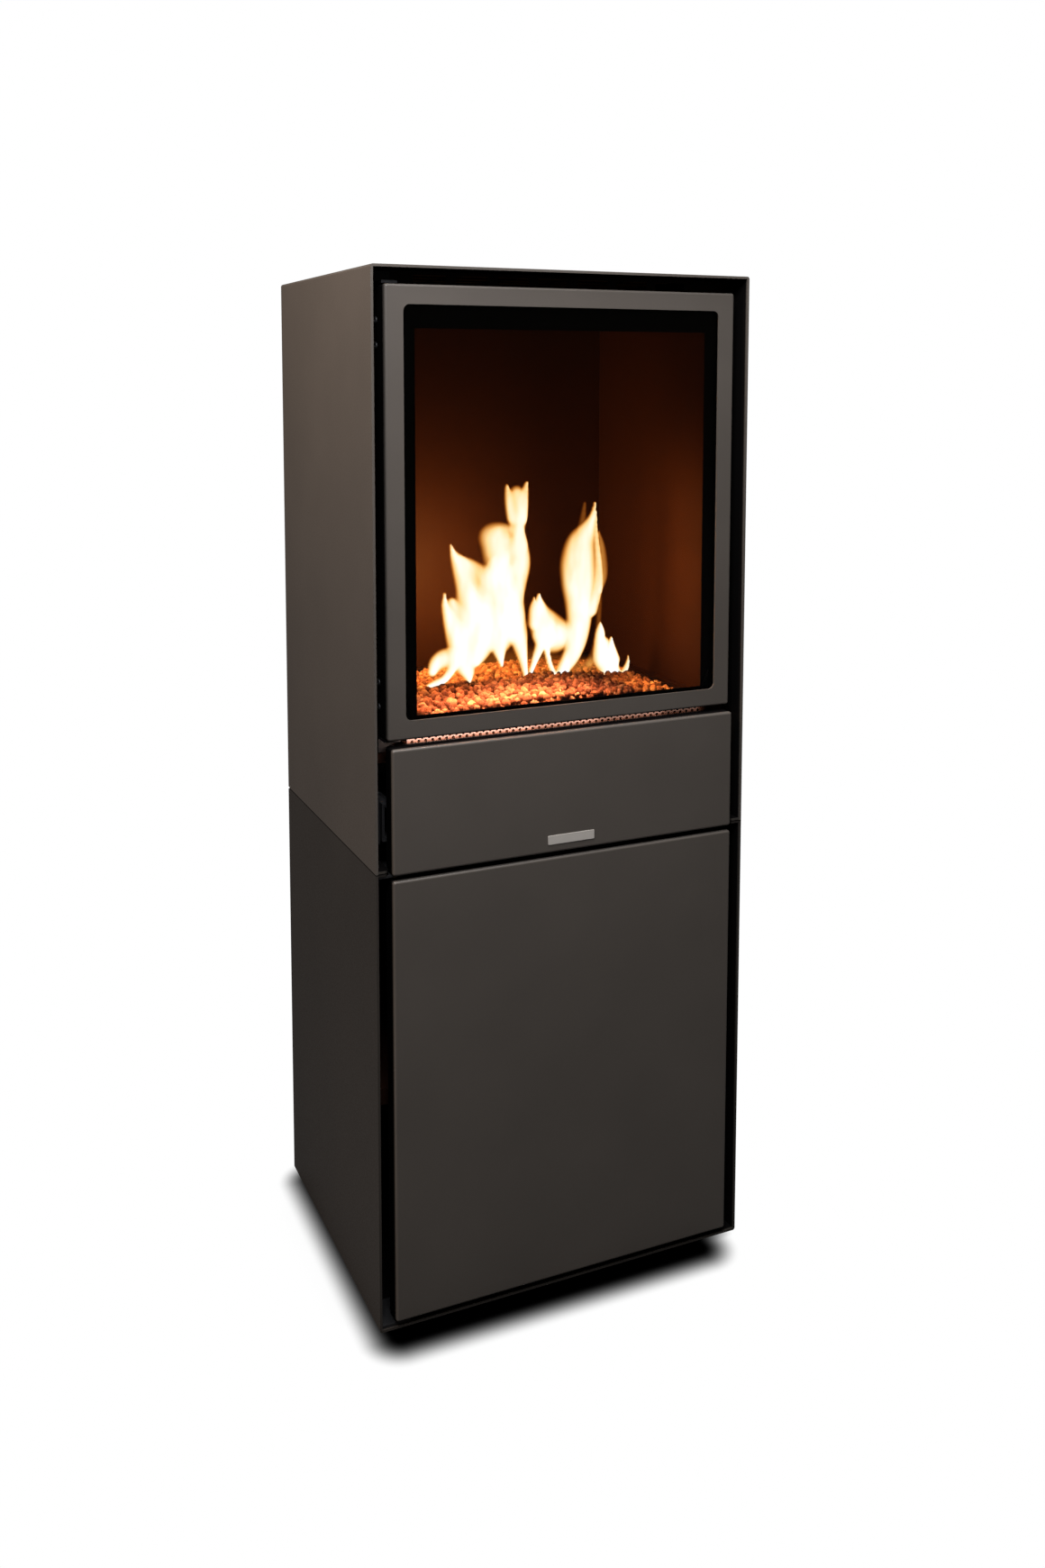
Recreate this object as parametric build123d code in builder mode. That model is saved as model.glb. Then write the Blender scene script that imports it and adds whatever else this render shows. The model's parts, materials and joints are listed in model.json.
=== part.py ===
"""Free-standing bioethanol fireplace: a tall sheet-steel column in two casings.

The upper casing holds the fire chamber behind a glazed door, and the burner under it.
Below the glazed door is a shallow drawer, and the lower casing is a cupboard with its
own door. All sizes are millimetres. The origin is under the middle of the object, on
the floor, +Z is up and the fronts face -Y.
"""

import os
from math import hypot

from build123d import *

os.makedirs("parts", exist_ok=True)

# ------------------------------------------------------------------ driving dimensions
# Casings
casing_width = 500.0
casing_depth = 385.0
casing_height = 1264.0
casing_sheet = 3.0
seam_height = 563.0  # joint between the two casings, above the lower one's underside
casing_bend = 3.2  # outer radius of the casing's folds
wall_bend = 3.0  # outer radius of the chamber walls' folds; thinner sheet is folded sharp
seam_flange = 15.0
seam_flange_setback = 2.0
back_flange = 20.0
relief_height = 3.0  # notch where the seam fold and the back fold meet
relief_depth = 5.0
pad_height = 8.0
pad_size = 32.0
pad_corner = 6.0
pad_inset = 38.0  # from the casing's outer faces to a pad's centre
bolt_end = 70.0  # from the casing's front or back edge to a bolt

# Fronts: glazed door above, drawer, lower door
front_proud = 5.0  # drawer and lower door stand this far out of the casing
window_recess = 6.0  # the glazed door stands this far inside the casing
side_gap = 16.5
window_side_gap = 15.0
window_head_gap = 18.0
window_gap = 7.5  # between glazed door and drawer
drawer_gap = 6.5  # between drawer and lower door
door_head_gap = 9.0  # below the seam
door_floor_gap = 8.0
drawer_front_height = 149.5
front_sheet = 2.0
fold_radius = 3.0  # outer radius of the fronts' folded edges
drawer_pan_depth = 23.0
door_pan_depth = 25.0
pan_lip = 15.0

# Glazed door
window_sheet = 2.5
window_side_depth = 36.0
window_edge_depth = 10.0
window_rail = 22.5
opening_corner = 8.0
glass_thickness = 4.0
glass_overlap = 8.0
gasket_thickness = 0.5
gasket_width = 6.0
retainer_sheet = 1.5
retainer_margin = 3.5  # from the retainer's outer edge to the frame's inner faces
retainer_side_cover = 16.0
retainer_foot_cover = 3.5
retainer_head_cover = 27.0
seal_width = 10.0
seal_thickness = 2.2

# Fire chamber
chamber_reveal = 9.5  # inside the opening of the glazed door, each side
chamber_sheet = 2.0
back_void = 75.0  # from the chamber's back wall to the casing's back edge
chamber_floor_rise = 17.5  # above the glazed door's lower edge
chamber_roof_drop = 5.5  # below the head of the door's opening
wall_flange = 10.0
front_plate_clear = 5.0
front_plate_sheet = 2.0
front_plate_flange = 20.0
front_plate_foot = 28.0  # below the drawer front's top edge
plate_stud_setback = 12.0
plate_stud_end = 90.0
slot_land = 12.0  # metal left between two slots of a row
outlet_slots = 7
roof_slot_rows = 3
roof_slots = 5
roof_slot_length = 56.0
roof_slot_width = 9.0
roof_slot_pitch = 40.0
outlet_slot_length = 42.0
outlet_slot_height = 9.0

# Hearth, granulate tray and burner
hearth_sheet = 2.0
hearth_setback = 30.0
tray_ledge = 22.0  # flat hearth left between the tray and a chamber wall
tray_setback = 2.0  # behind the chamber's front plate
tray_back_ledge = 12.0
tray_depth = 23.5
tray_sheet = 1.5
tray_rim = 6.0
mouth_margin = 30.0  # from the tray's side to the mouth
mouth_depth = 60.0
mouth_middle = 160.0  # behind the casing's front edge
grate_cover = 10.0  # overlap of the grate on the tray's floor
grate_slot_length = 22.0
grate_slot_width = 10.0
grate_slot_pitch = 23.0
grate_slots = 12
bed_crown = 9.0
bed_edge_rise = 3.5
bed_corner = 4.0
shutter_sheet = 1.5
shutter_drop = 10.0  # under the tray
shutter_margin = 6.0
shutter_overhang = 10.0  # wider than the mouth, each side
shutter_tab = 10.5
shutter_tab_width = 30.0
collar_clear = 0.8  # from the tray's collar to the shutter
rail_sheet = 1.5
rail_lip = 6.0
rail_flange = 10.0
rail_tail = 4.0
tank_height = 36.3
tank_side_margin = 22.0  # from the mouth to the tank's ends
tank_margin = 16.0
tank_sheet = 1.5
wick_height = 20.0
rod_radius = 3.0
rod_length = 12.0
knob_radius = 8.0
knob_length = 14.0
knob_clear = 10.0
notch_rise = 6.0
cradle_sheet = 3.0
cradle_foot = 20.0
cradle_upstand = 15.0
bearer_sheet = 1.5
bearer_drop = 26.0
bearer_cover = 12.0  # reach under the hearth plate
bearer_gap = 2.0
stud_end = 40.0  # from a bearer's or a carrier's end to its stud

# Air strip under the glazed door
strip_sheet = 1.5
strip_end_clear = 5.0  # inside the opening's side, clear of the glazed door's hinge as it swings
strip_height = 26.0
strip_drop = 3.0  # below the drawer front's top edge
strip_setback = 0.5  # behind the drawer front and the glazed door's folded lower edge
strip_hole_radius = 1.9
strip_hole_pitch = 8.7
strip_hole_count = 46
strip_hole_sides = 6
strip_row_rise = 1.5  # lower row of holes, above the drawer front's top edge
strip_row_pitch = 3.9
strip_upstand = 12.0

# Drawer
box_sheet = 1.5
box_height = 63.0
box_rise = 16.5  # box floor above the drawer front's lower edge
runner_length = 300.0  # and the drawer box's depth
runner_middle_length = 240.0
runner_width = 13.0
runner_outer_width = 10.5
runner_middle_width = 9.5
runner_inner_width = 9.0
runner_height = 45.0
runner_sheet = 1.2
runner_rise = 57.5  # runner's middle above the drawer front's lower edge
runner_front_gap = 2.0
carrier_depth = 12.0
carrier_sheet = 1.5
carrier_foot = 14.0
carrier_web = 56.0
carrier_front_gap = 12.0
carrier_tail = 6.0  # past the runner's length
name_plate_width = 63.0
name_plate_height = 11.2
name_plate_thickness = 0.8
name_plate_rise = 10.4

# Hinges
hinge_inset = 8.0  # pivot from the door's side edge
pivot_depth = 20.0  # pivot behind the door's face
pin_radius = 3.0
bush_radius = 4.5
bush_proud = 1.2  # bush stands out of the door's edge and carries it
shoulder_radius = 6.0
hinge_engagement = 22.0
bracket_plate = 3.0
bracket_outer = 7.0  # bracket edge outside the pivot
bracket_inner = 12.0
bracket_tail = 20.0
door_bracket_plate = 2.5
bracket_reach = 50.0  # lower door's brackets, behind the casing's front edge
foot_bracket_tail = 10.0
foot_bracket_height = 55.0
fold_clear = 1.0  # bracket edges keep clear of the casing's inner fold
window_block_height = 78.0
window_block_width = 15.5
door_block_height = 30.0
door_block_width = 15.5
door_block_wall = 10.0  # pivot to the block's front
block_front_wall = 7.0
hinge_screw_pitch = 29.0
hinge_screw_low = 35.5
hinge_screw_high = 40.0
hinge_screw_depth = 29.5  # behind the glazed door's face
hinge_screw_bite = 6.0

# Catches, cupboard and small parts
catch_height = 50.0
catch_width = 22.0
catch_depth = 17.0
catch_land = 5.0  # strike reaches past the catch, above and below
catch_base_sheet = 3.0
catch_base_reach = 25.0
window_catch_width = 14.0
door_catch_drop = 90.0
strike_sheet = 1.5
strike_leg = 10.0
strike_edge = 4.0
shelf_height = 282.0
shelf_sheet = 1.5
shelf_lip = 20.0
shelf_setback = 40.0
shelf_back_gap = 6.0
shelf_side_gap = 1.0
support_leg = 18.0
support_length = 60.0
support_front = 100.0  # from the shelf's front edge to the back of its first supports
support_back = 30.0
stiffener_width = 60.0
stiffener_sheet = 1.5
stiffener_flange = 14.0
stiffener_gap = 4.0
stiffener_end = 5.0
panel_sheet = 1.5
panel_gap = 2.0
panel_screw_end = 60.0
panel_slot_length = 48.0
panel_slot_height = 5.0
panel_slot_pitch = 14.0
panel_slots = 6
vent_rise = 60.0  # vent slots above a casing's foot
vent_drop = 45.0  # vent slots below the top
stud_radius = 2.5
stud_tip = 1.5
nut_radius = 4.6
nut_height = 4.0
screw_radius = 2.0
screw_head_radius = 4.0
screw_head_height = 1.6
countersink_depth = 2.2
panel_screw_bite = 4.0
retainer_screw_edge = 1.2  # clear metal from a screw to the glass
retainer_screw_pitch = 190.0
retainer_head_pitch = 240.0
bolt_radius = 3.0
bolt_tip = 1.0
bolt_head_radius = 5.5
bolt_head_height = 4.0
fastener_sides = 6  # small shanks and their holes are prisms, without threads

# Clearances
body_gap = 0.3  # between pieces that move past each other
slip = 0.3  # round a piece that passes through a cut-out
running_fit = 0.05  # radial, pin in bush
hole_fit = 0.05  # radial, fastener in its hole

# ------------------------------------------------------------------ planes and heights
casing_front = (front_proud + name_plate_thickness - casing_depth) / 2
casing_back = casing_front + casing_depth
casing_foot = pad_height
floor_top = casing_foot + casing_sheet
seam = casing_foot + seam_height
casing_top = casing_foot + casing_height
ceiling = casing_top - casing_sheet
wall = casing_width / 2 - casing_sheet  # inner face of a casing side

front_face = casing_front - front_proud
window_face = casing_front + window_recess
front_half = wall - side_gap
window_half = wall - window_side_gap
door_foot = floor_top + door_floor_gap
door_head = seam - door_head_gap
drawer_foot = door_head + drawer_gap
drawer_head = drawer_foot + drawer_front_height
window_foot = drawer_head + window_gap
window_head = ceiling - window_head_gap
window_middle = (window_foot + window_head) / 2
opening_half = window_half - window_rail
opening_foot = window_foot + window_rail
opening_head = window_head - window_rail
chamber_half = opening_half - chamber_reveal
tray_half = chamber_half - tray_ledge
mouth_half = tray_half - mouth_margin
tank_half = mouth_half + tank_side_margin
strip_half = opening_half - strip_end_clear

window_back = window_face + window_sheet
glass_front = window_back + gasket_thickness
glass_back = glass_front + glass_thickness
retainer_back = glass_back + retainer_sheet
chamber_front = retainer_back + seal_thickness + body_gap
chamber_back = casing_back - back_void
chamber_floor = window_foot + chamber_floor_rise
chamber_roof = opening_head - chamber_roof_drop
chamber_outer = chamber_half + chamber_sheet
window_side_back = window_face + window_side_depth
plate_face = window_side_back + front_plate_clear
plate_back = plate_face + front_plate_sheet
plate_foot = drawer_head - front_plate_foot

window_pivot_x = -(window_half - hinge_inset)
window_pivot_y = window_face + pivot_depth
door_pivot_x = -(front_half - hinge_inset)
door_pivot_y = front_face + pivot_depth

hearth_foot = chamber_floor - hearth_sheet
hearth_front = casing_front + hearth_setback
mouth_y = casing_front + mouth_middle
tray_floor = chamber_floor - tray_depth + tray_sheet
tray_foot = tray_floor - tray_sheet
shutter_top = tray_foot - shutter_drop
shutter_foot = shutter_top - shutter_sheet
tank_neck_head = shutter_foot - body_gap
box_foot = drawer_foot + box_rise
runner_z = drawer_foot + runner_rise
carrier_face = wall - carrier_depth
drawer_side = carrier_face - runner_width
drawer_back_face = front_face + drawer_pan_depth
door_back_face = front_face + door_pan_depth
carrier_foot_z = runner_z - carrier_web / 2
carrier_head_z = runner_z + carrier_web / 2


# ------------------------------------------------------------------ shared forms
def depth_plane(y):
    """Upright plane across the width at depth y; an extrusion from it grows forward."""
    return Plane.XZ.offset(-y)


def patch(low, high, corner=0.0, mode=Mode.ADD):
    """Rectangle between two corners of the sketch, with round corners if asked."""
    middle = ((low[0] + high[0]) / 2, (low[1] + high[1]) / 2)
    size = (abs(high[0] - low[0]), abs(high[1] - low[1]))
    with Locations(middle):
        if corner > 0:
            RectangleRounded(size[0], size[1], corner, mode=mode)
        else:
            Rectangle(size[0], size[1], mode=mode)


def block(low, high, mode=Mode.ADD):
    """Block between two opposite corners."""
    middle = tuple((a + b) / 2 for a, b in zip(low, high))
    with Locations(middle):
        Box(*(abs(b - a) for a, b in zip(low, high)), mode=mode)


def folded(path, sheet, outer_bend=0.0):
    """Section of a folded sheet along the middle of its thickness, sharp unless bent."""
    with BuildSketch() as section:
        with BuildLine():
            if outer_bend > 0:
                FilletPolyline(*path, radius=outer_bend - sheet / 2)
            else:
                Polyline(*path)
        trace(line_width=sheet)
    return section.sketch


def folded_pan(half, foot, head, face, depth, sheet, lip):
    """Door or drawer front: a sheet with four folded sides and lips turned in behind."""
    back = face + depth
    with BuildPart() as pan:
        with BuildSketch(depth_plane(back)):
            patch((-half, foot), (half, head))
        extrude(amount=depth)
        fillet(pan.faces().sort_by(Axis.Y)[0].edges(), radius=fold_radius)
        with BuildSketch(depth_plane(back - sheet)):
            patch((-half + sheet, foot + sheet), (half - sheet, head - sheet))
        extrude(amount=depth - 2 * sheet, mode=Mode.SUBTRACT)
        with BuildSketch(depth_plane(back)):
            patch((-half + lip, foot + lip), (half - lip, head - lip))
        extrude(amount=sheet, mode=Mode.SUBTRACT)
    return pan.part


def shank(radius, length):
    """Prism down from z=0: a small fastener's shank, or the hole for it."""
    with BuildPart() as prism:
        with BuildSketch():
            RegularPolygon(radius, fastener_sides)
        extrude(amount=-length)
    return prism.part


def cone_head(clearance=0.0):
    """Flat cone down from z=0: a countersunk head, or its seat with a clearance."""
    with BuildPart() as cone:
        with BuildSketch():
            RegularPolygon(screw_head_radius + clearance, fastener_sides)
        with BuildSketch(Plane.XY.offset(-countersink_depth)):
            RegularPolygon(screw_radius + clearance, fastener_sides)
        loft(ruled=True)
    return cone.part


def stud_with_nut(grip):
    """Welded stud along +Z from a wall at z=0, with its nut on a sheet `grip` thick."""
    with BuildPart() as fastener:
        with Locations((0, 0, grip + nut_height + stud_tip)):
            add(shank(stud_radius, grip + nut_height + stud_tip))
        with BuildSketch(Plane.XY.offset(grip)):
            RegularPolygon(nut_radius, 6)
        extrude(amount=nut_height)
    return fastener.part


def pan_head_screw(length):
    """Screw with its shank down from z=0 and its low head above."""
    with BuildPart() as fastener:
        add(shank(screw_radius, length))
        with BuildSketch():
            RegularPolygon(screw_head_radius, fastener_sides)
        extrude(amount=screw_head_height)
    return fastener.part


def countersunk_screw(length):
    """Screw whose cone head is flush with z=0."""
    with BuildPart() as fastener:
        add(shank(screw_radius, length))
        add(cone_head())
    return fastener.part


def bolt_with_nut(grip):
    """Hexagon bolt down through `grip` of sheet from z=0, with its nut below."""
    with BuildPart() as fastener:
        add(shank(bolt_radius, grip + nut_height + bolt_tip))
        with BuildSketch():
            RegularPolygon(bolt_head_radius, 6)
        extrude(amount=bolt_head_height)
        with BuildSketch(Plane.XY.offset(-grip)):
            RegularPolygon(bolt_head_radius, 6)
        extrude(amount=-nut_height)
    return fastener.part


def channel(width, height, sheet, length):
    """C-section member along Y from y=0, web on x=0 outside, open towards +X."""
    web = sheet / 2
    path = [
        (width, height / 2 - web),
        (web, height / 2 - web),
        (web, -height / 2 + web),
        (width, -height / 2 + web),
    ]
    with BuildPart() as member:
        with BuildSketch(depth_plane(length)):
            add(folded(path, sheet))
        extrude(amount=length)
    return member.part


# ------------------------------------------------------------------ fastener places
bolt_x = wall - seam_flange / 2
bolt_rows = [casing_front + bolt_end, casing_back - bolt_end]
bolt_places = [(side * bolt_x, y, seam + casing_sheet) for side in (-1, 1) for y in bolt_rows]

panel_screw_x = wall - back_flange / 2
lower_rows = [floor_top + panel_screw_end, seam - panel_screw_end]
upper_rows = [seam + panel_screw_end, ceiling - panel_screw_end]


def panel_screw_places(rows, face):
    """Places of the back panel's screws on a face; their own +Z points to the back."""
    return [
        Location((side * panel_screw_x, face, z), (-90, 0, 0)) for side in (-1, 1) for z in rows
    ]


# ------------------------------------------------------------------ casings
half_width = casing_width / 2
mid_sheet = casing_sheet / 2

with BuildPart() as lower_casing:
    u_path = [
        (-half_width + mid_sheet, seam),
        (-half_width + mid_sheet, casing_foot + mid_sheet),
        (half_width - mid_sheet, casing_foot + mid_sheet),
        (half_width - mid_sheet, seam),
    ]
    with BuildSketch(depth_plane(casing_back)):
        add(folded(u_path, casing_sheet, casing_bend))
    extrude(amount=casing_depth)
    with BuildSketch(Plane.XY.offset(seam - casing_sheet)):
        for side in (-1, 1):
            patch(
                (side * (wall - seam_flange), casing_front + seam_flange_setback),
                (side * wall, casing_back - casing_sheet - relief_depth),
            )
    extrude(amount=casing_sheet)
    flange_corners = (
        lower_casing.edges()
        .filter_by(Axis.Z)
        .filter_by_position(Axis.Z, seam - casing_sheet, seam)
        .filter_by_position(Axis.X, -wall + 1, wall - 1)
        .filter_by_position(Axis.Y, casing_front, casing_front + 2 * seam_flange_setback)
    )
    fillet(flange_corners, radius=seam_flange / 2)
    with BuildSketch(depth_plane(casing_back)):
        patch((-wall, floor_top), (wall, floor_top + back_flange))
        for side in (-1, 1):
            patch((side * (wall - back_flange), floor_top), (side * wall, seam - relief_height))
    extrude(amount=casing_sheet)
    with BuildSketch(Plane.XY.offset(seam - relief_height / 2)):
        for side in (-1, 1):
            patch(
                (side * (wall - back_flange), casing_back - relief_depth),
                (side * half_width, casing_back),
            )
    extrude(amount=relief_height / 2, mode=Mode.SUBTRACT)
    with Locations(*[(x, y, seam) for x, y, _ in bolt_places]):
        add(shank(bolt_radius + hole_fit, casing_sheet), mode=Mode.SUBTRACT)
    with Locations(*panel_screw_places(lower_rows, casing_back)):
        add(shank(screw_radius + hole_fit, casing_sheet), mode=Mode.SUBTRACT)
        add(cone_head(hole_fit), mode=Mode.SUBTRACT)
lower_casing.part.label = "lower_casing"
export_step(lower_casing.part, "parts/lower_casing.step")

with BuildPart() as upper_casing:
    arch_path = [
        (-half_width + mid_sheet, seam),
        (-half_width + mid_sheet, casing_top - mid_sheet),
        (half_width - mid_sheet, casing_top - mid_sheet),
        (half_width - mid_sheet, seam),
    ]
    with BuildSketch(depth_plane(casing_back)):
        add(folded(arch_path, casing_sheet, casing_bend))
    extrude(amount=casing_depth)
    with BuildSketch(Plane.XY.offset(seam)):
        for side in (-1, 1):
            patch(
                (side * (wall - seam_flange), casing_front + seam_flange_setback),
                (side * wall, casing_back - casing_sheet - relief_depth),
            )
    extrude(amount=casing_sheet)
    flange_corners = (
        upper_casing.edges()
        .filter_by(Axis.Z)
        .filter_by_position(Axis.Z, seam, seam + casing_sheet)
        .filter_by_position(Axis.X, -wall + 1, wall - 1)
        .filter_by_position(Axis.Y, casing_front, casing_front + 2 * seam_flange_setback)
    )
    fillet(flange_corners, radius=seam_flange / 2)
    with BuildSketch(depth_plane(casing_back)):
        patch((-wall, ceiling - back_flange), (wall, ceiling))
        for side in (-1, 1):
            patch((side * (wall - back_flange), seam + relief_height), (side * wall, ceiling))
    extrude(amount=casing_sheet)
    with BuildSketch(Plane.XY.offset(seam)):
        for side in (-1, 1):
            patch(
                (side * (wall - back_flange), casing_back - relief_depth),
                (side * half_width, casing_back),
            )
    extrude(amount=relief_height / 2, mode=Mode.SUBTRACT)
    with Locations(*bolt_places):
        add(shank(bolt_radius + hole_fit, casing_sheet), mode=Mode.SUBTRACT)
    with Locations(*panel_screw_places(upper_rows, casing_back)):
        add(shank(screw_radius + hole_fit, casing_sheet), mode=Mode.SUBTRACT)
        add(cone_head(hole_fit), mode=Mode.SUBTRACT)
upper_casing.part.label = "upper_casing"
export_step(upper_casing.part, "parts/upper_casing.step")

with BuildPart() as seam_bolts:
    with Locations(*bolt_places):
        add(bolt_with_nut(2 * casing_sheet))
seam_bolts.part.label = "seam_bolts"
export_step(seam_bolts.part, "parts/seam_bolts.step")

# ------------------------------------------------------------------ back panels
panel_back = casing_back - casing_sheet
panel_edge = wall - panel_gap


def back_panel(foot, head, rows, slot_rows):
    """Vented sheet behind a casing, with rows of slots at the given heights."""
    with BuildPart() as panel:
        with BuildSketch(depth_plane(panel_back)):
            patch((-panel_edge, foot), (panel_edge, head))
            for z in slot_rows:
                with Locations((0, z)):
                    slot_pitch = panel_slot_length + slot_land
                    with GridLocations(slot_pitch, panel_slot_pitch, panel_slots, 2):
                        Rectangle(panel_slot_length, panel_slot_height, mode=Mode.SUBTRACT)
        extrude(amount=panel_sheet)
        with Locations(*panel_screw_places(rows, panel_back)):
            add(shank(screw_radius + hole_fit, panel_sheet), mode=Mode.SUBTRACT)
    return panel.part


with BuildPart() as lower_back_panel:
    panel_head = seam - casing_sheet - panel_gap
    add(back_panel(floor_top + panel_gap, panel_head, lower_rows, [floor_top + vent_rise]))
lower_back_panel.part.label = "lower_back_panel"
export_step(lower_back_panel.part, "parts/lower_back_panel.step")

with BuildPart() as upper_back_panel:
    panel_foot = seam + casing_sheet + panel_gap
    vent_rows = [seam + vent_rise, ceiling - vent_drop]
    add(back_panel(panel_foot, ceiling - panel_gap, upper_rows, vent_rows))
upper_back_panel.part.label = "upper_back_panel"
export_step(upper_back_panel.part, "parts/upper_back_panel.step")

with BuildPart() as back_panel_screws:
    with Locations(*panel_screw_places(lower_rows + upper_rows, casing_back)):
        add(countersunk_screw(casing_sheet + panel_sheet + panel_screw_bite))
back_panel_screws.part.label = "back_panel_screws"
export_step(back_panel_screws.part, "parts/back_panel_screws.step")

# ------------------------------------------------------------------ floor pads
with BuildPart() as floor_pads:
    with Locations((0, (casing_front + casing_back) / 2, 0)):
        with GridLocations(casing_width - 2 * pad_inset, casing_depth - 2 * pad_inset, 2, 2):
            Box(pad_size, pad_size, pad_height, align=(Align.CENTER, Align.CENTER, Align.MIN))
    chamfer(floor_pads.edges().filter_by(Axis.Z), length=pad_corner)
floor_pads.part.label = "floor_pads"
export_step(floor_pads.part, "parts/floor_pads.step")

# ------------------------------------------------------------------ front plate of the chamber
outlet_z = (window_head + ceiling) / 2
notch_half = knob_radius + knob_clear
notch_head = shutter_foot + notch_rise

with BuildPart() as chamber_front_plate:
    with BuildSketch(depth_plane(plate_back)):
        patch((-wall + slip, plate_foot), (wall - slip, ceiling - slip))
        patch(
            (-chamber_outer - slip, hearth_foot - slip),
            (chamber_outer + slip, chamber_roof + chamber_sheet + slip),
            mode=Mode.SUBTRACT,
        )
        patch((-notch_half, plate_foot), (notch_half, notch_head), mode=Mode.SUBTRACT)
        with Locations((0, outlet_z)):
            with GridLocations(outlet_slot_length + slot_land, 1, outlet_slots, 1):
                Rectangle(outlet_slot_length, outlet_slot_height, mode=Mode.SUBTRACT)
    extrude(amount=front_plate_sheet)
    for side in (-1, 1):
        block(
            (side * (wall - slip), plate_back, plate_foot),
            (side * (wall - slip - front_plate_sheet), plate_back + front_plate_flange, ceiling - slip),
        )
    plate_stud_y = plate_back + plate_stud_setback
    plate_stud_rows = [
        plate_foot + plate_stud_end, (plate_foot + ceiling) / 2, ceiling - plate_stud_end
    ]
    with Locations(*[Location((wall, plate_stud_y, z), (0, 90, 0)) for z in plate_stud_rows]):
        add(shank(stud_radius + hole_fit, 2 * wall), mode=Mode.SUBTRACT)
chamber_front_plate.part.label = "chamber_front_plate"
export_step(chamber_front_plate.part, "parts/chamber_front_plate.step")

# ------------------------------------------------------------------ chamber walls, back, roof
for side_name, side in (("left", -1), ("right", 1)):
    with BuildPart() as chamber_wall:
        middle = side * (chamber_half + chamber_sheet / 2)
        wall_path = [
            (middle, chamber_front),
            (middle, chamber_back - chamber_sheet / 2),
            (side * (chamber_outer + wall_flange), chamber_back - chamber_sheet / 2),
        ]
        with BuildSketch(Plane.XY.offset(chamber_floor)):
            add(folded(wall_path, chamber_sheet, wall_bend))
        extrude(amount=chamber_roof - chamber_floor)
    chamber_wall.part.label = f"chamber_wall_{side_name}"
    export_step(chamber_wall.part, f"parts/chamber_wall_{side_name}.step")

with BuildPart() as chamber_back_wall:
    with BuildSketch(depth_plane(chamber_back + chamber_sheet)):
        patch(
            (-chamber_outer - wall_flange, hearth_foot),
            (chamber_outer + wall_flange, chamber_roof + chamber_sheet),
        )
    extrude(amount=chamber_sheet)
chamber_back_wall.part.label = "chamber_back_wall"
export_step(chamber_back_wall.part, "parts/chamber_back_wall.step")

with BuildPart() as chamber_roof_plate:
    with BuildSketch(Plane.XY.offset(chamber_roof)):
        patch((-chamber_outer, chamber_front), (chamber_outer, chamber_back))
        with Locations((0, (chamber_front + chamber_back) / 2)):
            slot_pitch = roof_slot_length + slot_land
            with GridLocations(slot_pitch, roof_slot_pitch, roof_slots, roof_slot_rows):
                Rectangle(roof_slot_length, roof_slot_width, mode=Mode.SUBTRACT)
    extrude(amount=chamber_sheet)
chamber_roof_plate.part.label = "chamber_roof_plate"
export_step(chamber_roof_plate.part, "parts/chamber_roof_plate.step")

# ------------------------------------------------------------------ hearth and its bearers
tray_front_y = plate_back + tray_setback
tray_back_y = chamber_back - tray_back_ledge

with BuildPart() as hearth_plate:
    with BuildSketch(Plane.XY.offset(hearth_foot)):
        patch((-chamber_outer, hearth_front), (chamber_outer, chamber_back))
        patch(
            (-tray_half - slip, tray_front_y - slip),
            (tray_half + slip, tray_back_y + slip),
            mode=Mode.SUBTRACT,
        )
    extrude(amount=hearth_sheet)
hearth_plate.part.label = "hearth_plate"
export_step(hearth_plate.part, "parts/hearth_plate.step")

bearer_front = plate_back + front_plate_flange + bearer_gap
bearer_reach = wall - chamber_outer + bearer_cover
bearer_stud_z = hearth_foot - bearer_drop / 2
bearer_stud_rows = [bearer_front + stud_end, chamber_back - stud_end]
for side_name, side in (("left", -1), ("right", 1)):
    with BuildPart() as hearth_bearer:
        bearer_path = [
            (side * (wall - bearer_sheet / 2), hearth_foot - bearer_drop),
            (side * (wall - bearer_sheet / 2), hearth_foot - bearer_sheet / 2),
            (side * (wall - bearer_reach), hearth_foot - bearer_sheet / 2),
        ]
        with BuildSketch(depth_plane(chamber_back)):
            add(folded(bearer_path, bearer_sheet))
        extrude(amount=chamber_back - bearer_front)
        stud_holes = [Location((side * wall, y, bearer_stud_z), (0, side * 90, 0)) for y in bearer_stud_rows]
        with Locations(*stud_holes):
            add(shank(stud_radius + hole_fit, bearer_sheet), mode=Mode.SUBTRACT)
    hearth_bearer.part.label = f"hearth_bearer_{side_name}"
    export_step(hearth_bearer.part, f"parts/hearth_bearer_{side_name}.step")

# ------------------------------------------------------------------ granulate tray, grate, bed
mouth_front = mouth_y - mouth_depth / 2
mouth_back = mouth_y + mouth_depth / 2
collar_wall = tray_sheet
collar_foot = shutter_top + collar_clear

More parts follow.
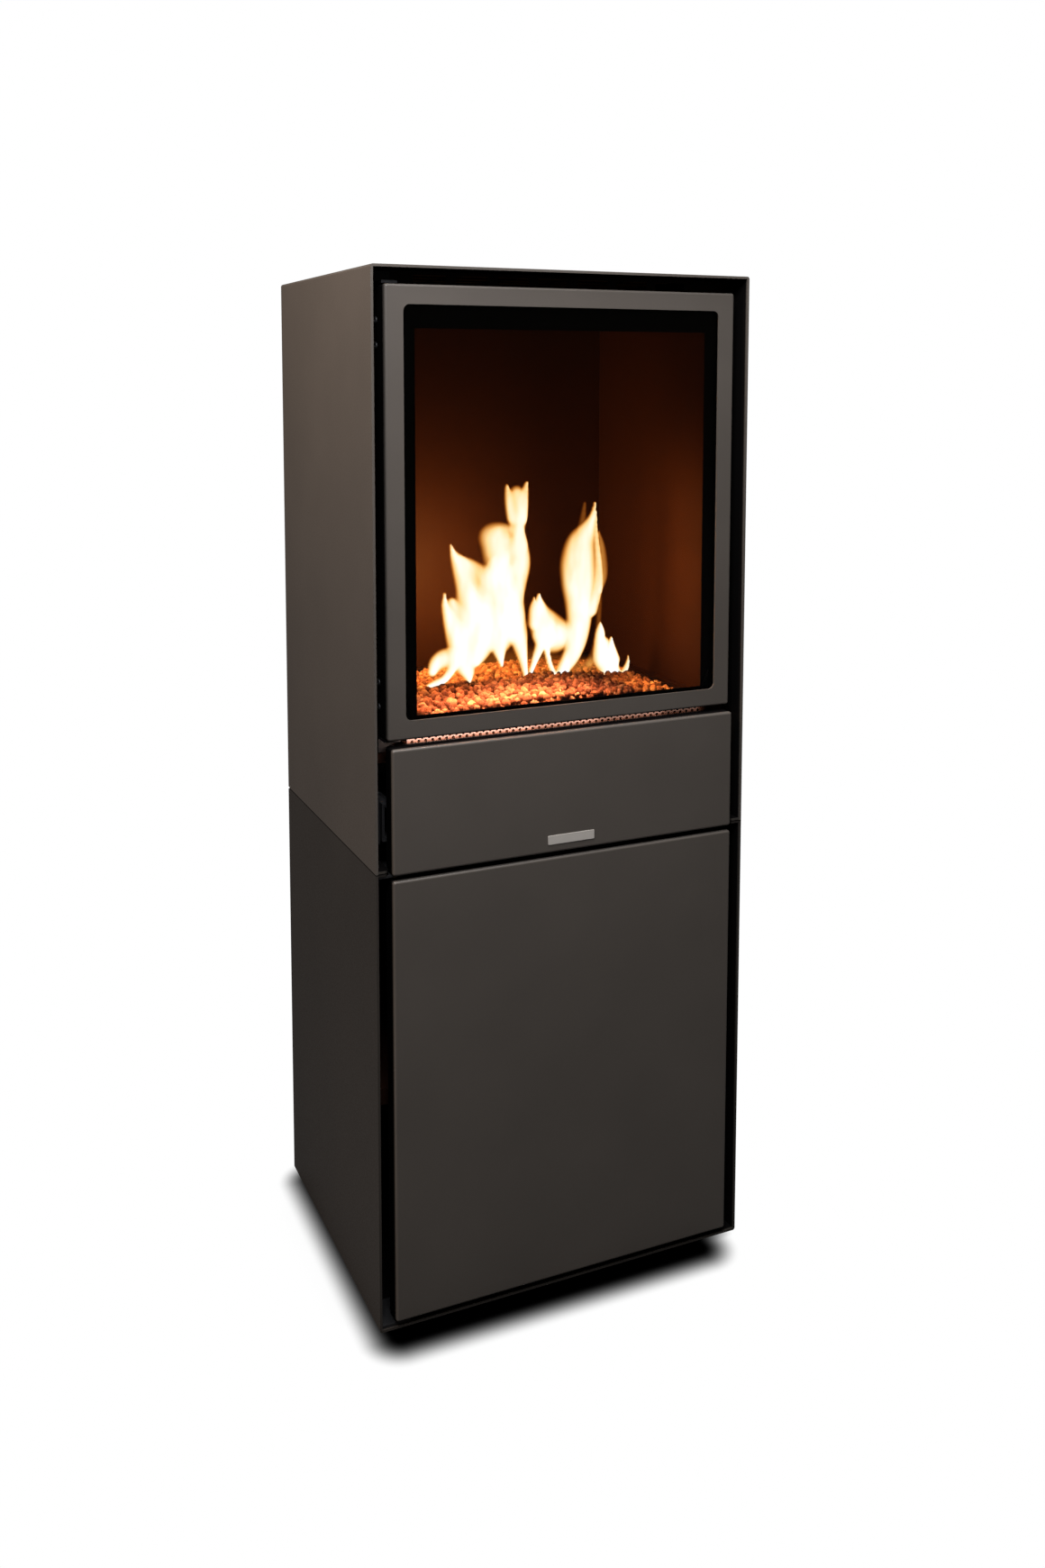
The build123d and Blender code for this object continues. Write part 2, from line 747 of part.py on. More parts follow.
with BuildPart() as granulate_tray:
    with BuildSketch(Plane.XY.offset(tray_foot)):
        patch((-tray_half, tray_front_y), (tray_half, tray_back_y))
    extrude(amount=tray_depth)
    with BuildSketch(Plane.XY.offset(tray_floor)):
        patch(
            (-tray_half + tray_sheet, tray_front_y + tray_sheet),
            (tray_half - tray_sheet, tray_back_y - tray_sheet),
        )
    extrude(amount=tray_depth, mode=Mode.SUBTRACT)
    with BuildSketch(Plane.XY.offset(chamber_floor)):
        patch(
            (-tray_half - tray_rim, tray_front_y - tray_rim),
            (tray_half + tray_rim, tray_back_y + tray_rim),
        )
        patch(
            (-tray_half + tray_sheet, tray_front_y + tray_sheet),
            (tray_half - tray_sheet, tray_back_y - tray_sheet),
            mode=Mode.SUBTRACT,
        )
    extrude(amount=tray_sheet)
    with BuildSketch(Plane.XY.offset(collar_foot)):
        patch(
            (-mouth_half - collar_wall, mouth_front - collar_wall),
            (mouth_half + collar_wall, mouth_back + collar_wall),
        )
    extrude(amount=tray_foot - collar_foot)
    with BuildSketch(Plane.XY.offset(collar_foot)):
        patch((-mouth_half, mouth_front), (mouth_half, mouth_back))
    extrude(amount=tray_floor - collar_foot, mode=Mode.SUBTRACT)
granulate_tray.part.label = "granulate_tray"
export_step(granulate_tray.part, "parts/granulate_tray.step")

with BuildPart() as granulate_grate:
    with BuildSketch(Plane.XY.offset(tray_floor)):
        patch(
            (-mouth_half - grate_cover, mouth_front - grate_cover),
            (mouth_half + grate_cover, mouth_back + grate_cover),
        )
        with Locations((0, mouth_y)):
            with GridLocations(grate_slot_pitch, mouth_depth / 2, grate_slots, 2):
                Rectangle(grate_slot_width, grate_slot_length, mode=Mode.SUBTRACT)
    extrude(amount=tray_sheet)
granulate_grate.part.label = "granulate_grate"
export_step(granulate_grate.part, "parts/granulate_grate.step")

bed_foot = tray_floor + tray_sheet
bed_half = tray_half - tray_sheet - body_gap
bed_tray_front = tray_front_y + tray_sheet + body_gap
bed_front = hearth_front + 2 * body_gap
bed_back = tray_back_y - tray_sheet - body_gap
bed_ledge = chamber_floor + tray_sheet + body_gap
bed_edge = chamber_floor + tray_sheet + bed_edge_rise
bed_top = bed_edge + bed_crown
with BuildPart() as granulate_bed:
    with BuildSketch(Plane.XY.offset(bed_foot)):
        patch((-bed_half, bed_tray_front), (bed_half, bed_back), corner=bed_corner)
    extrude(amount=bed_top - bed_foot)
    with BuildSketch(Plane.XY.offset(bed_ledge)):
        patch((-bed_half, bed_front), (bed_half, bed_back), corner=bed_corner)
    extrude(amount=bed_top - bed_ledge)
    crown_half = bed_half + bed_corner
    crown_front = bed_front - bed_corner
    crown_back = bed_back + bed_corner
    crown_foot = bed_foot - bed_corner
    with BuildSketch(depth_plane(crown_back)):
        with BuildLine():
            Polyline(
                (crown_half, bed_edge),
                (crown_half, crown_foot),
                (-crown_half, crown_foot),
                (-crown_half, bed_edge),
            )
            ThreePointArc((-crown_half, bed_edge), (0, bed_top), (crown_half, bed_edge))
        make_face()
    extrude(amount=crown_back - crown_front, mode=Mode.INTERSECT)
granulate_bed.part.label = "granulate_bed"
export_step(granulate_bed.part, "parts/granulate_bed.step")

# ------------------------------------------------------------------ burner shutter and its rails
shutter_half = mouth_half + shutter_overhang
shutter_travel = mouth_depth + 2 * shutter_margin
shutter_back = mouth_front - shutter_margin
shutter_front = shutter_back - shutter_travel
tab_foot = shutter_foot - shutter_tab
tab_half = shutter_tab_width / 2
rod_z = shutter_foot - shutter_tab / 2
rail_back = mouth_back + shutter_margin + rail_tail

with BuildPart() as shutter_rails:
    for side in (-1, 1):
        lip_z = shutter_foot - body_gap - rail_sheet / 2
        web_x = shutter_half + body_gap + rail_sheet / 2
        rail_path = [
            (side * (web_x - rail_lip), lip_z),
            (side * web_x, lip_z),
            (side * web_x, tray_foot - rail_sheet / 2),
            (side * (web_x + rail_flange), tray_foot - rail_sheet / 2),
        ]
        with BuildSketch(depth_plane(rail_back)):
            add(folded(rail_path, rail_sheet))
        extrude(amount=rail_back - tray_front_y)
shutter_rails.part.label = "shutter_rails"
export_step(shutter_rails.part, "parts/shutter_rails.step")

with BuildPart() as shutter_plate:
    with BuildSketch(Plane.XY.offset(shutter_foot)):
        patch((-shutter_half, shutter_front), (shutter_half, shutter_back))
    extrude(amount=shutter_sheet)
    block((-tab_half, shutter_front, tab_foot), (tab_half, shutter_front + shutter_sheet, shutter_foot))
shutter_plate.part.label = "shutter_plate"
export_step(shutter_plate.part, "parts/shutter_plate.step")

rod_front = shutter_front - rod_length
with BuildPart() as shutter_knob:
    with BuildSketch(depth_plane(rod_front)):
        with Locations((0, rod_z)):
            Circle(knob_radius)
    extrude(amount=knob_length)
    with BuildSketch(depth_plane(shutter_front)):
        with Locations((0, rod_z)):
            Circle(rod_radius)
    extrude(amount=rod_length)
shutter_knob.part.label = "shutter_knob"
export_step(shutter_knob.part, "parts/shutter_knob.step")

# ------------------------------------------------------------------ tank, wick and cradle
cradle_foot_z = carrier_head_z + carrier_sheet / 2
tank_foot = cradle_foot_z + cradle_sheet
tank_head = tank_foot + tank_height
tank_front = mouth_front - tank_margin
tank_back = mouth_back + tank_margin
neck_wall = tank_sheet

with BuildPart() as burner_tank:
    with BuildSketch(Plane.XY.offset(tank_foot)):
        patch((-tank_half, tank_front), (tank_half, tank_back))
    extrude(amount=tank_height)
    with BuildSketch(Plane.XY.offset(tank_foot + tank_sheet)):
        patch(
            (-tank_half + tank_sheet, tank_front + tank_sheet),
            (tank_half - tank_sheet, tank_back - tank_sheet),
        )
    extrude(amount=tank_height - 2 * tank_sheet, mode=Mode.SUBTRACT)
    with BuildSketch(Plane.XY.offset(tank_head)):
        patch(
            (-mouth_half - neck_wall, mouth_front - neck_wall),
            (mouth_half + neck_wall, mouth_back + neck_wall),
        )
    extrude(amount=tank_neck_head - tank_head)
    with BuildSketch(Plane.XY.offset(tank_head - tank_sheet)):
        patch((-mouth_half, mouth_front), (mouth_half, mouth_back))
    extrude(amount=tank_neck_head - tank_head + tank_sheet, mode=Mode.SUBTRACT)
burner_tank.part.label = "burner_tank"
export_step(burner_tank.part, "parts/burner_tank.step")

with BuildPart() as fuel_wick:
    with BuildSketch(Plane.XY.offset(tank_foot + tank_sheet)):
        patch(
            (-tank_half + tank_sheet + slip, tank_front + tank_sheet + slip),
            (tank_half - tank_sheet - slip, tank_back - tank_sheet - slip),
        )
    extrude(amount=wick_height)
fuel_wick.part.label = "fuel_wick"
export_step(fuel_wick.part, "parts/fuel_wick.step")

cradle_half = wall - 2 * carrier_sheet - slip
with BuildPart() as tank_cradle:
    for face, direction in ((tank_front - slip, 1), (tank_back + slip, -1)):
        upright = face - direction * cradle_sheet / 2
        cradle_path = [
            (upright, cradle_foot_z + cradle_sheet + cradle_upstand),
            (upright, cradle_foot_z + cradle_sheet / 2),
            (face + direction * cradle_foot, cradle_foot_z + cradle_sheet / 2),
        ]
        with BuildSketch(Plane.YZ.offset(-cradle_half)):
            add(folded(cradle_path, cradle_sheet))
        extrude(amount=2 * cradle_half)
tank_cradle.part.label = "tank_cradle"
export_step(tank_cradle.part, "parts/tank_cradle.step")

# ------------------------------------------------------------------ air strip
strip_face = max(window_face + window_edge_depth, drawer_back_face) + strip_setback
strip_foot = drawer_head - strip_drop
strip_head = strip_foot + strip_height
strip_row_z = drawer_head + strip_row_rise
with BuildPart() as air_strip:
    front_line = strip_face + strip_sheet / 2
    rear_line = plate_face - strip_sheet / 2
    strip_path = [
        (front_line, strip_head),
        (front_line, strip_foot + strip_sheet / 2),
        (rear_line, strip_foot + strip_sheet / 2),
        (rear_line, strip_foot + strip_upstand),
    ]
    with BuildSketch(Plane.YZ.offset(-strip_half)):
        add(folded(strip_path, strip_sheet))
    extrude(amount=2 * strip_half)
    with BuildSketch(depth_plane(strip_face + strip_sheet)):
        for row in range(2):
            shift = (row - 0.5) * strip_hole_pitch / 2
            with Locations((shift, strip_row_z + row * strip_row_pitch)):
                with GridLocations(strip_hole_pitch, 1, strip_hole_count, 1):
                    RegularPolygon(strip_hole_radius, strip_hole_sides)
    extrude(amount=strip_sheet, mode=Mode.SUBTRACT)
air_strip.part.label = "air_strip"
export_step(air_strip.part, "parts/air_strip.step")

# ------------------------------------------------------------------ runner carriers and runners
carrier_front = drawer_back_face + carrier_front_gap
carrier_back = drawer_back_face + runner_length + carrier_tail
carrier_stud_rise = carrier_web / 2 + carrier_foot / 2
carrier_studs = [
    (carrier_front + stud_end, runner_z + carrier_stud_rise),
    (carrier_back - stud_end, runner_z - carrier_stud_rise),
]
runner_front = drawer_back_face + runner_front_gap
runner_step = runner_sheet + body_gap

with BuildPart() as carcass_studs:
    for side, turn in ((-1, 90), (1, -90)):
        for z in plate_stud_rows:
            with Locations(Location((side * wall, plate_stud_y, z), (0, turn, 0))):
                add(stud_with_nut(front_plate_sheet + slip))
        for y in bearer_stud_rows:
            with Locations(Location((side * wall, y, bearer_stud_z), (0, turn, 0))):
                add(stud_with_nut(bearer_sheet))
        for y, z in carrier_studs:
            with Locations(Location((side * wall, y, z), (0, turn, 0))):
                add(stud_with_nut(carrier_sheet))
carcass_studs.part.label = "carcass_studs"
export_step(carcass_studs.part, "parts/carcass_studs.step")

for side_name, side in (("left", -1), ("right", 1)):
    with BuildPart() as runner_carrier:
        foot_x = side * (wall - carrier_sheet / 2)
        web_x = side * (carrier_face + carrier_sheet / 2)
        carrier_path = [
            (foot_x, carrier_head_z + carrier_foot),
            (foot_x, carrier_head_z),
            (web_x, carrier_head_z),
            (web_x, carrier_foot_z),
            (foot_x, carrier_foot_z),
            (foot_x, carrier_foot_z - carrier_foot),
        ]
        with BuildSketch(depth_plane(carrier_back)):
            add(folded(carrier_path, carrier_sheet))
        extrude(amount=carrier_back - carrier_front)
        stud_holes = [Location((side * wall, y, z), (0, side * 90, 0)) for y, z in carrier_studs]
        with Locations(*stud_holes):
            add(shank(stud_radius + hole_fit, carrier_sheet), mode=Mode.SUBTRACT)
    runner_carrier.part.label = f"runner_carrier_{side_name}"
    export_step(runner_carrier.part, f"parts/runner_carrier_{side_name}.step")

    facing = 0 if side < 0 else 180
    outer_start = runner_front + (runner_length if side > 0 else 0)
    outer_place = Location((side * carrier_face, outer_start, runner_z), (0, 0, facing))
    with BuildPart() as runner_outer:
        with Locations(outer_place):
            add(channel(runner_outer_width, runner_height, runner_sheet, runner_length))
    runner_outer.part.label = f"runner_outer_{side_name}"
    export_step(runner_outer.part, f"parts/runner_outer_{side_name}.step")

    middle_x = side * (carrier_face - runner_step)
    middle_start = runner_front + (runner_middle_length if side > 0 else 0)
    middle_place = Location((middle_x, middle_start, runner_z), (0, 0, facing))
    middle_height = runner_height - 2 * runner_step
    with BuildPart() as runner_middle:
        with Locations(middle_place):
            add(channel(runner_middle_width, middle_height, runner_sheet, runner_middle_length))
    runner_middle.part.label = f"runner_middle_{side_name}"
    export_step(runner_middle.part, f"parts/runner_middle_{side_name}.step")

    inner_start = runner_front + (0 if side > 0 else runner_length)
    inner_place = Location((side * drawer_side, inner_start, runner_z), (0, 0, 180 - facing))
    inner_height = runner_height - 4 * runner_step
    with BuildPart() as runner_inner:
        with Locations(inner_place):
            add(channel(runner_inner_width, inner_height, runner_sheet, runner_length))
    runner_inner.part.label = f"runner_inner_{side_name}"
    export_step(runner_inner.part, f"parts/runner_inner_{side_name}.step")

# ------------------------------------------------------------------ drawer
box_back = drawer_back_face + runner_length
with BuildPart() as drawer_front:
    add(
        folded_pan(
            front_half, drawer_foot, drawer_head, front_face, drawer_pan_depth, front_sheet, pan_lip
        )
    )
drawer_front.part.label = "drawer_front"
export_step(drawer_front.part, "parts/drawer_front.step")

with BuildPart() as drawer_box:
    with BuildSketch(Plane.XY.offset(box_foot)):
        patch((-drawer_side, drawer_back_face), (drawer_side, box_back))
    extrude(amount=box_height)
    with BuildSketch(Plane.XY.offset(box_foot + box_sheet)):
        patch(
            (-drawer_side + box_sheet, drawer_back_face + box_sheet),
            (drawer_side - box_sheet, box_back - box_sheet),
        )
    extrude(amount=box_height, mode=Mode.SUBTRACT)
drawer_box.part.label = "drawer_box"
export_step(drawer_box.part, "parts/drawer_box.step")

plate_low = drawer_foot + name_plate_rise
with BuildPart() as name_plate:
    with BuildSketch(depth_plane(front_face)):
        patch(
            (-name_plate_width / 2, plate_low), (name_plate_width / 2, plate_low + name_plate_height)
        )
    extrude(amount=name_plate_thickness)
name_plate.part.label = "name_plate"
export_step(name_plate.part, "parts/name_plate.step")


# ------------------------------------------------------------------ hinge parts
def hinge_pin(radius_low, height_low, height_high):
    """Stepped pin up from z=0: a shoulder, then the pin that turns in the bush."""
    with BuildPart() as pin:
        if height_low > 0:
            Cylinder(radius_low, height_low, align=(Align.CENTER, Align.CENTER, Align.MIN))
        with Locations((0, 0, height_low)):
            Cylinder(pin_radius, height_high, align=(Align.CENTER, Align.CENTER, Align.MIN))
    return pin.part


def proud_bush(length):
    """Bush pressed in above z=0, with its end proud below that face."""
    with BuildPart() as bush:
        with Locations((0, 0, -bush_proud)):
            Cylinder(bush_radius, length + bush_proud, align=(Align.CENTER, Align.CENTER, Align.MIN))
        Cylinder(pin_radius + running_fit, 4 * length, mode=Mode.SUBTRACT)
    return bush.part


# Glazed door: brackets on the front plate, above and below the door
window_bracket_low = window_foot - bush_proud - body_gap - bracket_plate
window_bracket_high = window_head + bush_proud + body_gap
window_pin = bush_proud + body_gap + hinge_engagement
for name, plate_z, up in (
    ("window_hinge_foot", window_bracket_low, 1),
    ("window_hinge_head", window_bracket_high, -1),
):
    with BuildPart() as bracket:
        with BuildSketch(Plane.XY.offset(plate_z)):
            patch(
                (window_pivot_x - bracket_outer, window_pivot_y - bracket_outer),
                (window_pivot_x + bracket_inner, plate_face),
            )
        extrude(amount=bracket_plate)
        tail = plate_z - bracket_tail + bracket_plate if up > 0 else plate_z
        tail_head = plate_z + bracket_plate if up > 0 else ceiling - panel_gap
        block(
            (window_pivot_x - bracket_outer, plate_face - bracket_plate, tail),
            (window_pivot_x + bracket_inner, plate_face, tail_head),
        )
        pin_foot = plate_z + bracket_plate if up > 0 else plate_z
        pin_turn = (0 if up > 0 else 180, 0, 0)
        with Locations(Location((window_pivot_x, window_pivot_y, pin_foot), pin_turn)):
            add(hinge_pin(shoulder_radius, 0, window_pin))
    bracket.part.label = name
    export_step(bracket.part, f"parts/{name}.step")

# Lower door: an angle on the casing's floor, and a plate under the seam flange
door_shoulder = door_floor_gap - bracket_plate - bush_proud - body_gap
door_bracket_z = seam - casing_sheet - door_bracket_plate
door_head_shoulder = door_bracket_z - door_head - bush_proud - body_gap
bracket_back = casing_front + bracket_reach
with BuildPart() as door_hinge_foot:
    with BuildSketch(Plane.XY.offset(floor_top)):
        patch(
            (-wall + fold_clear, door_pivot_y - bracket_inner),
            (door_pivot_x + bracket_inner, bracket_back),
        )
    extrude(amount=bracket_plate)
    block(
        (-wall, door_pivot_y + pivot_depth, floor_top + fold_clear),
        (-wall + bracket_plate, bracket_back + foot_bracket_tail, floor_top + foot_bracket_height),
    )
    with Locations((door_pivot_x, door_pivot_y, floor_top + bracket_plate)):
        add(hinge_pin(shoulder_radius, door_shoulder, bush_proud + body_gap + hinge_engagement))
door_hinge_foot.part.label = "door_hinge_foot"
export_step(door_hinge_foot.part, "parts/door_hinge_foot.step")

with BuildPart() as door_hinge_head:
    with BuildSketch(Plane.XY.offset(door_bracket_z)):
        patch(
            (-wall, door_pivot_y - bracket_inner), (door_pivot_x + bracket_inner, bracket_back)
        )
    extrude(amount=door_bracket_plate)
    with Locations(Location((door_pivot_x, door_pivot_y, door_bracket_z), (180, 0, 0))):
        add(hinge_pin(shoulder_radius, door_head_shoulder, bush_proud + body_gap + hinge_engagement))
door_hinge_head.part.label = "door_hinge_head"
export_step(door_hinge_head.part, "parts/door_hinge_head.step")

# ------------------------------------------------------------------ glazed door
window_inner = window_half - window_sheet
with BuildPart() as window_frame:
    with BuildSketch(depth_plane(window_side_back)):
        patch((-window_half, window_foot), (window_half, window_head))
    extrude(amount=window_side_depth)
    fillet(window_frame.faces().sort_by(Axis.Y)[0].edges(), radius=fold_radius)
    with BuildSketch(depth_plane(window_side_back)):
        patch(
            (-window_inner, window_foot + window_sheet), (window_inner, window_head - window_sheet)
        )
    extrude(amount=window_side_depth - window_sheet, mode=Mode.SUBTRACT)
    with BuildSketch(depth_plane(window_side_back)):
        patch((-window_inner, window_foot), (window_inner, window_head))
    extrude(amount=window_side_depth - window_edge_depth, mode=Mode.SUBTRACT)
    with BuildSketch(depth_plane(window_back)):
        patch((-opening_half, opening_foot), (opening_half, opening_head), corner=opening_corner)
    extrude(amount=window_sheet, mode=Mode.SUBTRACT)
    hinge_screw_y = window_face + hinge_screw_depth
    first_screws = (window_foot + hinge_screw_low, window_head - hinge_screw_high - hinge_screw_pitch)
    block_screws = [
        Location((-window_half, hinge_screw_y, z + rise), (0, -90, 0))
        for z in first_screws
        for rise in (0, hinge_screw_pitch)
    ]
    with Locations(*block_screws):
        add(shank(screw_radius + hole_fit, window_sheet), mode=Mode.SUBTRACT)
window_frame.part.label = "window_frame"
export_step(window_frame.part, "parts/window_frame.step")

glass_half = opening_half + glass_overlap
glass_foot = opening_foot - glass_overlap
glass_head = opening_head + glass_overlap
with BuildPart() as window_glass:
    with BuildSketch(depth_plane(glass_back)):
        patch((-glass_half, glass_foot), (glass_half, glass_head))
    extrude(amount=glass_thickness)
window_glass.part.label = "window_glass"
export_step(window_glass.part, "parts/window_glass.step")

with BuildPart() as glass_gasket:
    with BuildSketch(depth_plane(glass_front)):
        patch((-glass_half, glass_foot), (glass_half, glass_head))
        patch(
            (-glass_half + gasket_width, glass_foot + gasket_width),
            (glass_half - gasket_width, glass_head - gasket_width),
            mode=Mode.SUBTRACT,
        )
    extrude(amount=gasket_thickness)
glass_gasket.part.label = "glass_gasket"
export_step(glass_gasket.part, "parts/glass_gasket.step")

retainer_half = window_inner - retainer_margin
retainer_foot = window_foot + window_sheet + retainer_margin
retainer_head = window_head - window_sheet - retainer_margin
sight_half = opening_half - retainer_side_cover
sight_foot = opening_foot + retainer_foot_cover
sight_head = opening_head - retainer_head_cover
screw_offset = screw_radius + retainer_screw_edge
retainer_places = [
    (side * (glass_half + screw_offset), window_middle + step * retainer_screw_pitch)
    for side in (-1, 1)
    for step in (-1, 0, 1)
]
retainer_places += [
    (side * retainer_head_pitch / 2, z)
    for side in (-1, 1)
    for z in (glass_foot - screw_offset, glass_head + screw_offset)
]
with BuildPart() as glass_retainer:
    with BuildSketch(depth_plane(retainer_back)):
        patch((-retainer_half, retainer_foot), (retainer_half, retainer_head))
        patch((-sight_half, sight_foot), (sight_half, sight_head), mode=Mode.SUBTRACT)
        with Locations(*retainer_places):
            RegularPolygon(screw_radius + hole_fit, fastener_sides, mode=Mode.SUBTRACT)
    extrude(amount=retainer_sheet)
glass_retainer.part.label = "glass_retainer"
export_step(glass_retainer.part, "parts/glass_retainer.step")

with BuildPart() as retainer_screws:
    places = [Location((x, retainer_back, z), (-90, 0, 0)) for x, z in retainer_places]
    with Locations(*places):
        add(pan_head_screw(retainer_back - window_back))
retainer_screws.part.label = "retainer_screws"
export_step(retainer_screws.part, "parts/retainer_screws.step")

with BuildPart() as window_seal:
    seal_middle = chamber_half + chamber_sheet / 2
    seal_foot = chamber_floor + hearth_sheet
    seal_head = chamber_roof + chamber_sheet / 2 + seal_width / 2
    with BuildSketch(depth_plane(retainer_back + seal_thickness)):
        patch((-seal_middle - seal_width / 2, seal_foot), (seal_middle + seal_width / 2, seal_head))
        patch(
            (-seal_middle + seal_width / 2, seal_foot),
            (seal_middle - seal_width / 2, seal_head - seal_width),
            mode=Mode.SUBTRACT,
        )
    extrude(amount=seal_thickness)
window_seal.part.label = "window_seal"
export_step(window_seal.part, "parts/window_seal.step")

block_front = window_pivot_y - block_front_wall
with BuildPart() as window_hinge_blocks:
    for foot, head in (
        (window_foot, window_foot + window_block_height),
        (window_head - window_block_height, window_head),
    ):
        with BuildSketch(Plane.XY.offset(foot)):
            patch((-window_inner, block_front), (-window_inner + window_block_width, window_side_back))
            with Locations((window_pivot_x, window_pivot_y)):
                Circle(bush_radius, mode=Mode.SUBTRACT)
        extrude(amount=head - foot)
    with Locations(*block_screws):
        add(shank(screw_radius + hole_fit, window_sheet + hinge_screw_bite), mode=Mode.SUBTRACT)
window_hinge_blocks.part.label = "window_hinge_blocks"
export_step(window_hinge_blocks.part, "parts/window_hinge_blocks.step")

with BuildPart() as hinge_block_screws:
    with Locations(*block_screws):
        add(pan_head_screw(window_sheet + hinge_screw_bite))
hinge_block_screws.part.label = "hinge_block_screws"
export_step(hinge_block_screws.part, "parts/hinge_block_screws.step")

with BuildPart() as window_hinge_bushes:
    for z, tilt in ((window_foot, 0), (window_head, 180)):
        with Locations(Location((window_pivot_x, window_pivot_y, z), (tilt, 0, 0))):
            add(proud_bush(hinge_engagement))
window_hinge_bushes.part.label = "window_hinge_bushes"
export_step(window_hinge_bushes.part, "parts/window_hinge_bushes.step")

catch_x = chamber_outer + wall_flange / 2
strike_face = plate_face - catch_depth - body_gap
with BuildPart() as window_strike:
    strike_path = [
        (catch_x, strike_face - strike_sheet / 2),
        (window_inner - strike_sheet / 2, strike_face - strike_sheet / 2),
        (window_inner - strike_sheet / 2, strike_face + strike_leg),
    ]
    with BuildSketch(Plane.XY.offset(window_middle - catch_height / 2)):
        add(folded(strike_path, strike_sheet))
    extrude(amount=catch_height)
window_strike.part.label = "window_strike"
export_step(window_strike.part, "parts/window_strike.step")

with BuildPart() as window_catch:
    with BuildSketch(Plane.XY.offset(window_middle - catch_height / 2 + catch_land)):
        patch((catch_x, plate_face - catch_depth), (catch_x + window_catch_width, plate_face))
    extrude(amount=catch_height - 2 * catch_land)
window_catch.part.label = "window_catch"
export_step(window_catch.part, "parts/window_catch.step")

# ------------------------------------------------------------------ lower door
door_inner = front_half - front_sheet
with BuildPart() as lower_door:
    add(folded_pan(front_half, door_foot, door_head, front_face, door_pan_depth, front_sheet, pan_lip))
    with Locations((door_pivot_x, door_pivot_y, (door_foot + door_head) / 2)):
        Cylinder(bush_radius, casing_height, mode=Mode.SUBTRACT)
lower_door.part.label = "lower_door"
export_step(lower_door.part, "parts/lower_door.step")

with BuildPart() as door_hinge_blocks:
    for foot in (door_foot + front_sheet, door_head - front_sheet - door_block_height):
        with BuildSketch(Plane.XY.offset(foot)):
            patch(
                (-door_inner, door_pivot_y - door_block_wall),
                (-door_inner + door_block_width, door_back_face - front_sheet),
            )
            with Locations((door_pivot_x, door_pivot_y)):
                Circle(bush_radius, mode=Mode.SUBTRACT)
        extrude(amount=door_block_height)
door_hinge_blocks.part.label = "door_hinge_blocks"
export_step(door_hinge_blocks.part, "parts/door_hinge_blocks.step")

with BuildPart() as door_hinge_bushes:
    for z, tilt in ((door_foot, 0), (door_head, 180)):
        with Locations(Location((door_pivot_x, door_pivot_y, z), (tilt, 0, 0))):
            add(proud_bush(hinge_engagement))
door_hinge_bushes.part.label = "door_hinge_bushes"
export_step(door_hinge_bushes.part, "parts/door_hinge_bushes.step")

with BuildPart() as door_stiffener:
    face_line = front_face + front_sheet + stiffener_sheet / 2
    crown_line = door_back_face - stiffener_sheet / 2 - stiffener_gap
    stiffener_path = [
        (-stiffener_width / 2 - stiffener_flange, face_line),
        (-stiffener_width / 2, face_line),
        (-stiffener_width / 2, crown_line),
        (stiffener_width / 2, crown_line),
        (stiffener_width / 2, face_line),
        (stiffener_width / 2 + stiffener_flange, face_line),
    ]
    with BuildSketch(Plane.XY.offset(door_foot + pan_lip + stiffener_end)):
        add(folded(stiffener_path, stiffener_sheet))
    extrude(amount=door_head - door_foot - 2 * (pan_lip + stiffener_end))
door_stiffener.part.label = "door_stiffener"
export_step(door_stiffener.part, "parts/door_stiffener.step")

door_catch_z = door_head - door_catch_drop
with BuildPart() as door_strike:
    with BuildSketch(depth_plane(door_back_face + strike_sheet)):
        patch(
            (front_half - catch_width, door_catch_z - catch_height / 2),
            (front_half - strike_edge, door_catch_z + catch_height / 2),
        )
    extrude(amount=strike_sheet)
door_strike.part.label = "door_strike"
export_step(door_strike.part, "parts/door_strike.step")

with BuildPart() as door_catch:
    catch_face = door_back_face + strike_sheet + body_gap
    with BuildSketch(Plane.XY.offset(door_catch_z - catch_height / 2)):
        patch((front_half - catch_width, catch_face), (wall, catch_face + catch_depth))
        patch(
            (wall - catch_base_sheet, catch_face), (wall, catch_face + catch_depth + catch_base_reach)
        )
    extrude(amount=catch_height)
door_catch.part.label = "door_catch"
export_step(door_catch.part, "parts/door_catch.step")

# ------------------------------------------------------------------ cupboard shelf
shelf_front = casing_front + shelf_setback
shelf_back = panel_back - panel_sheet - shelf_back_gap
shelf_z = casing_foot + shelf_height
shelf_half = wall - shelf_side_gap
with BuildPart() as cupboard_shelf:
    shelf_path = [
        (shelf_front + shelf_sheet / 2, shelf_z - shelf_lip),
        (shelf_front + shelf_sheet / 2, shelf_z - shelf_sheet / 2),
        (shelf_back, shelf_z - shelf_sheet / 2),
    ]
    with BuildSketch(Plane.YZ.offset(-shelf_half)):
        add(folded(shelf_path, shelf_sheet))
    extrude(amount=2 * shelf_half)
cupboard_shelf.part.label = "cupboard_shelf"
export_step(cupboard_shelf.part, "parts/cupboard_shelf.step")

with BuildPart() as shelf_supports:
    for side in (-1, 1):
        support_path = [
            (side * (wall - shelf_sheet / 2), shelf_z - shelf_sheet - support_leg),
            (side * (wall - shelf_sheet / 2), shelf_z - 1.5 * shelf_sheet),
            (side * (wall - support_leg), shelf_z - 1.5 * shelf_sheet),
        ]
        for y in (shelf_front + support_front, shelf_back - support_back):
            with BuildSketch(depth_plane(y)):
                add(folded(support_path, shelf_sheet))
            extrude(amount=support_length)
shelf_supports.part.label = "shelf_supports"
export_step(shelf_supports.part, "parts/shelf_supports.step")

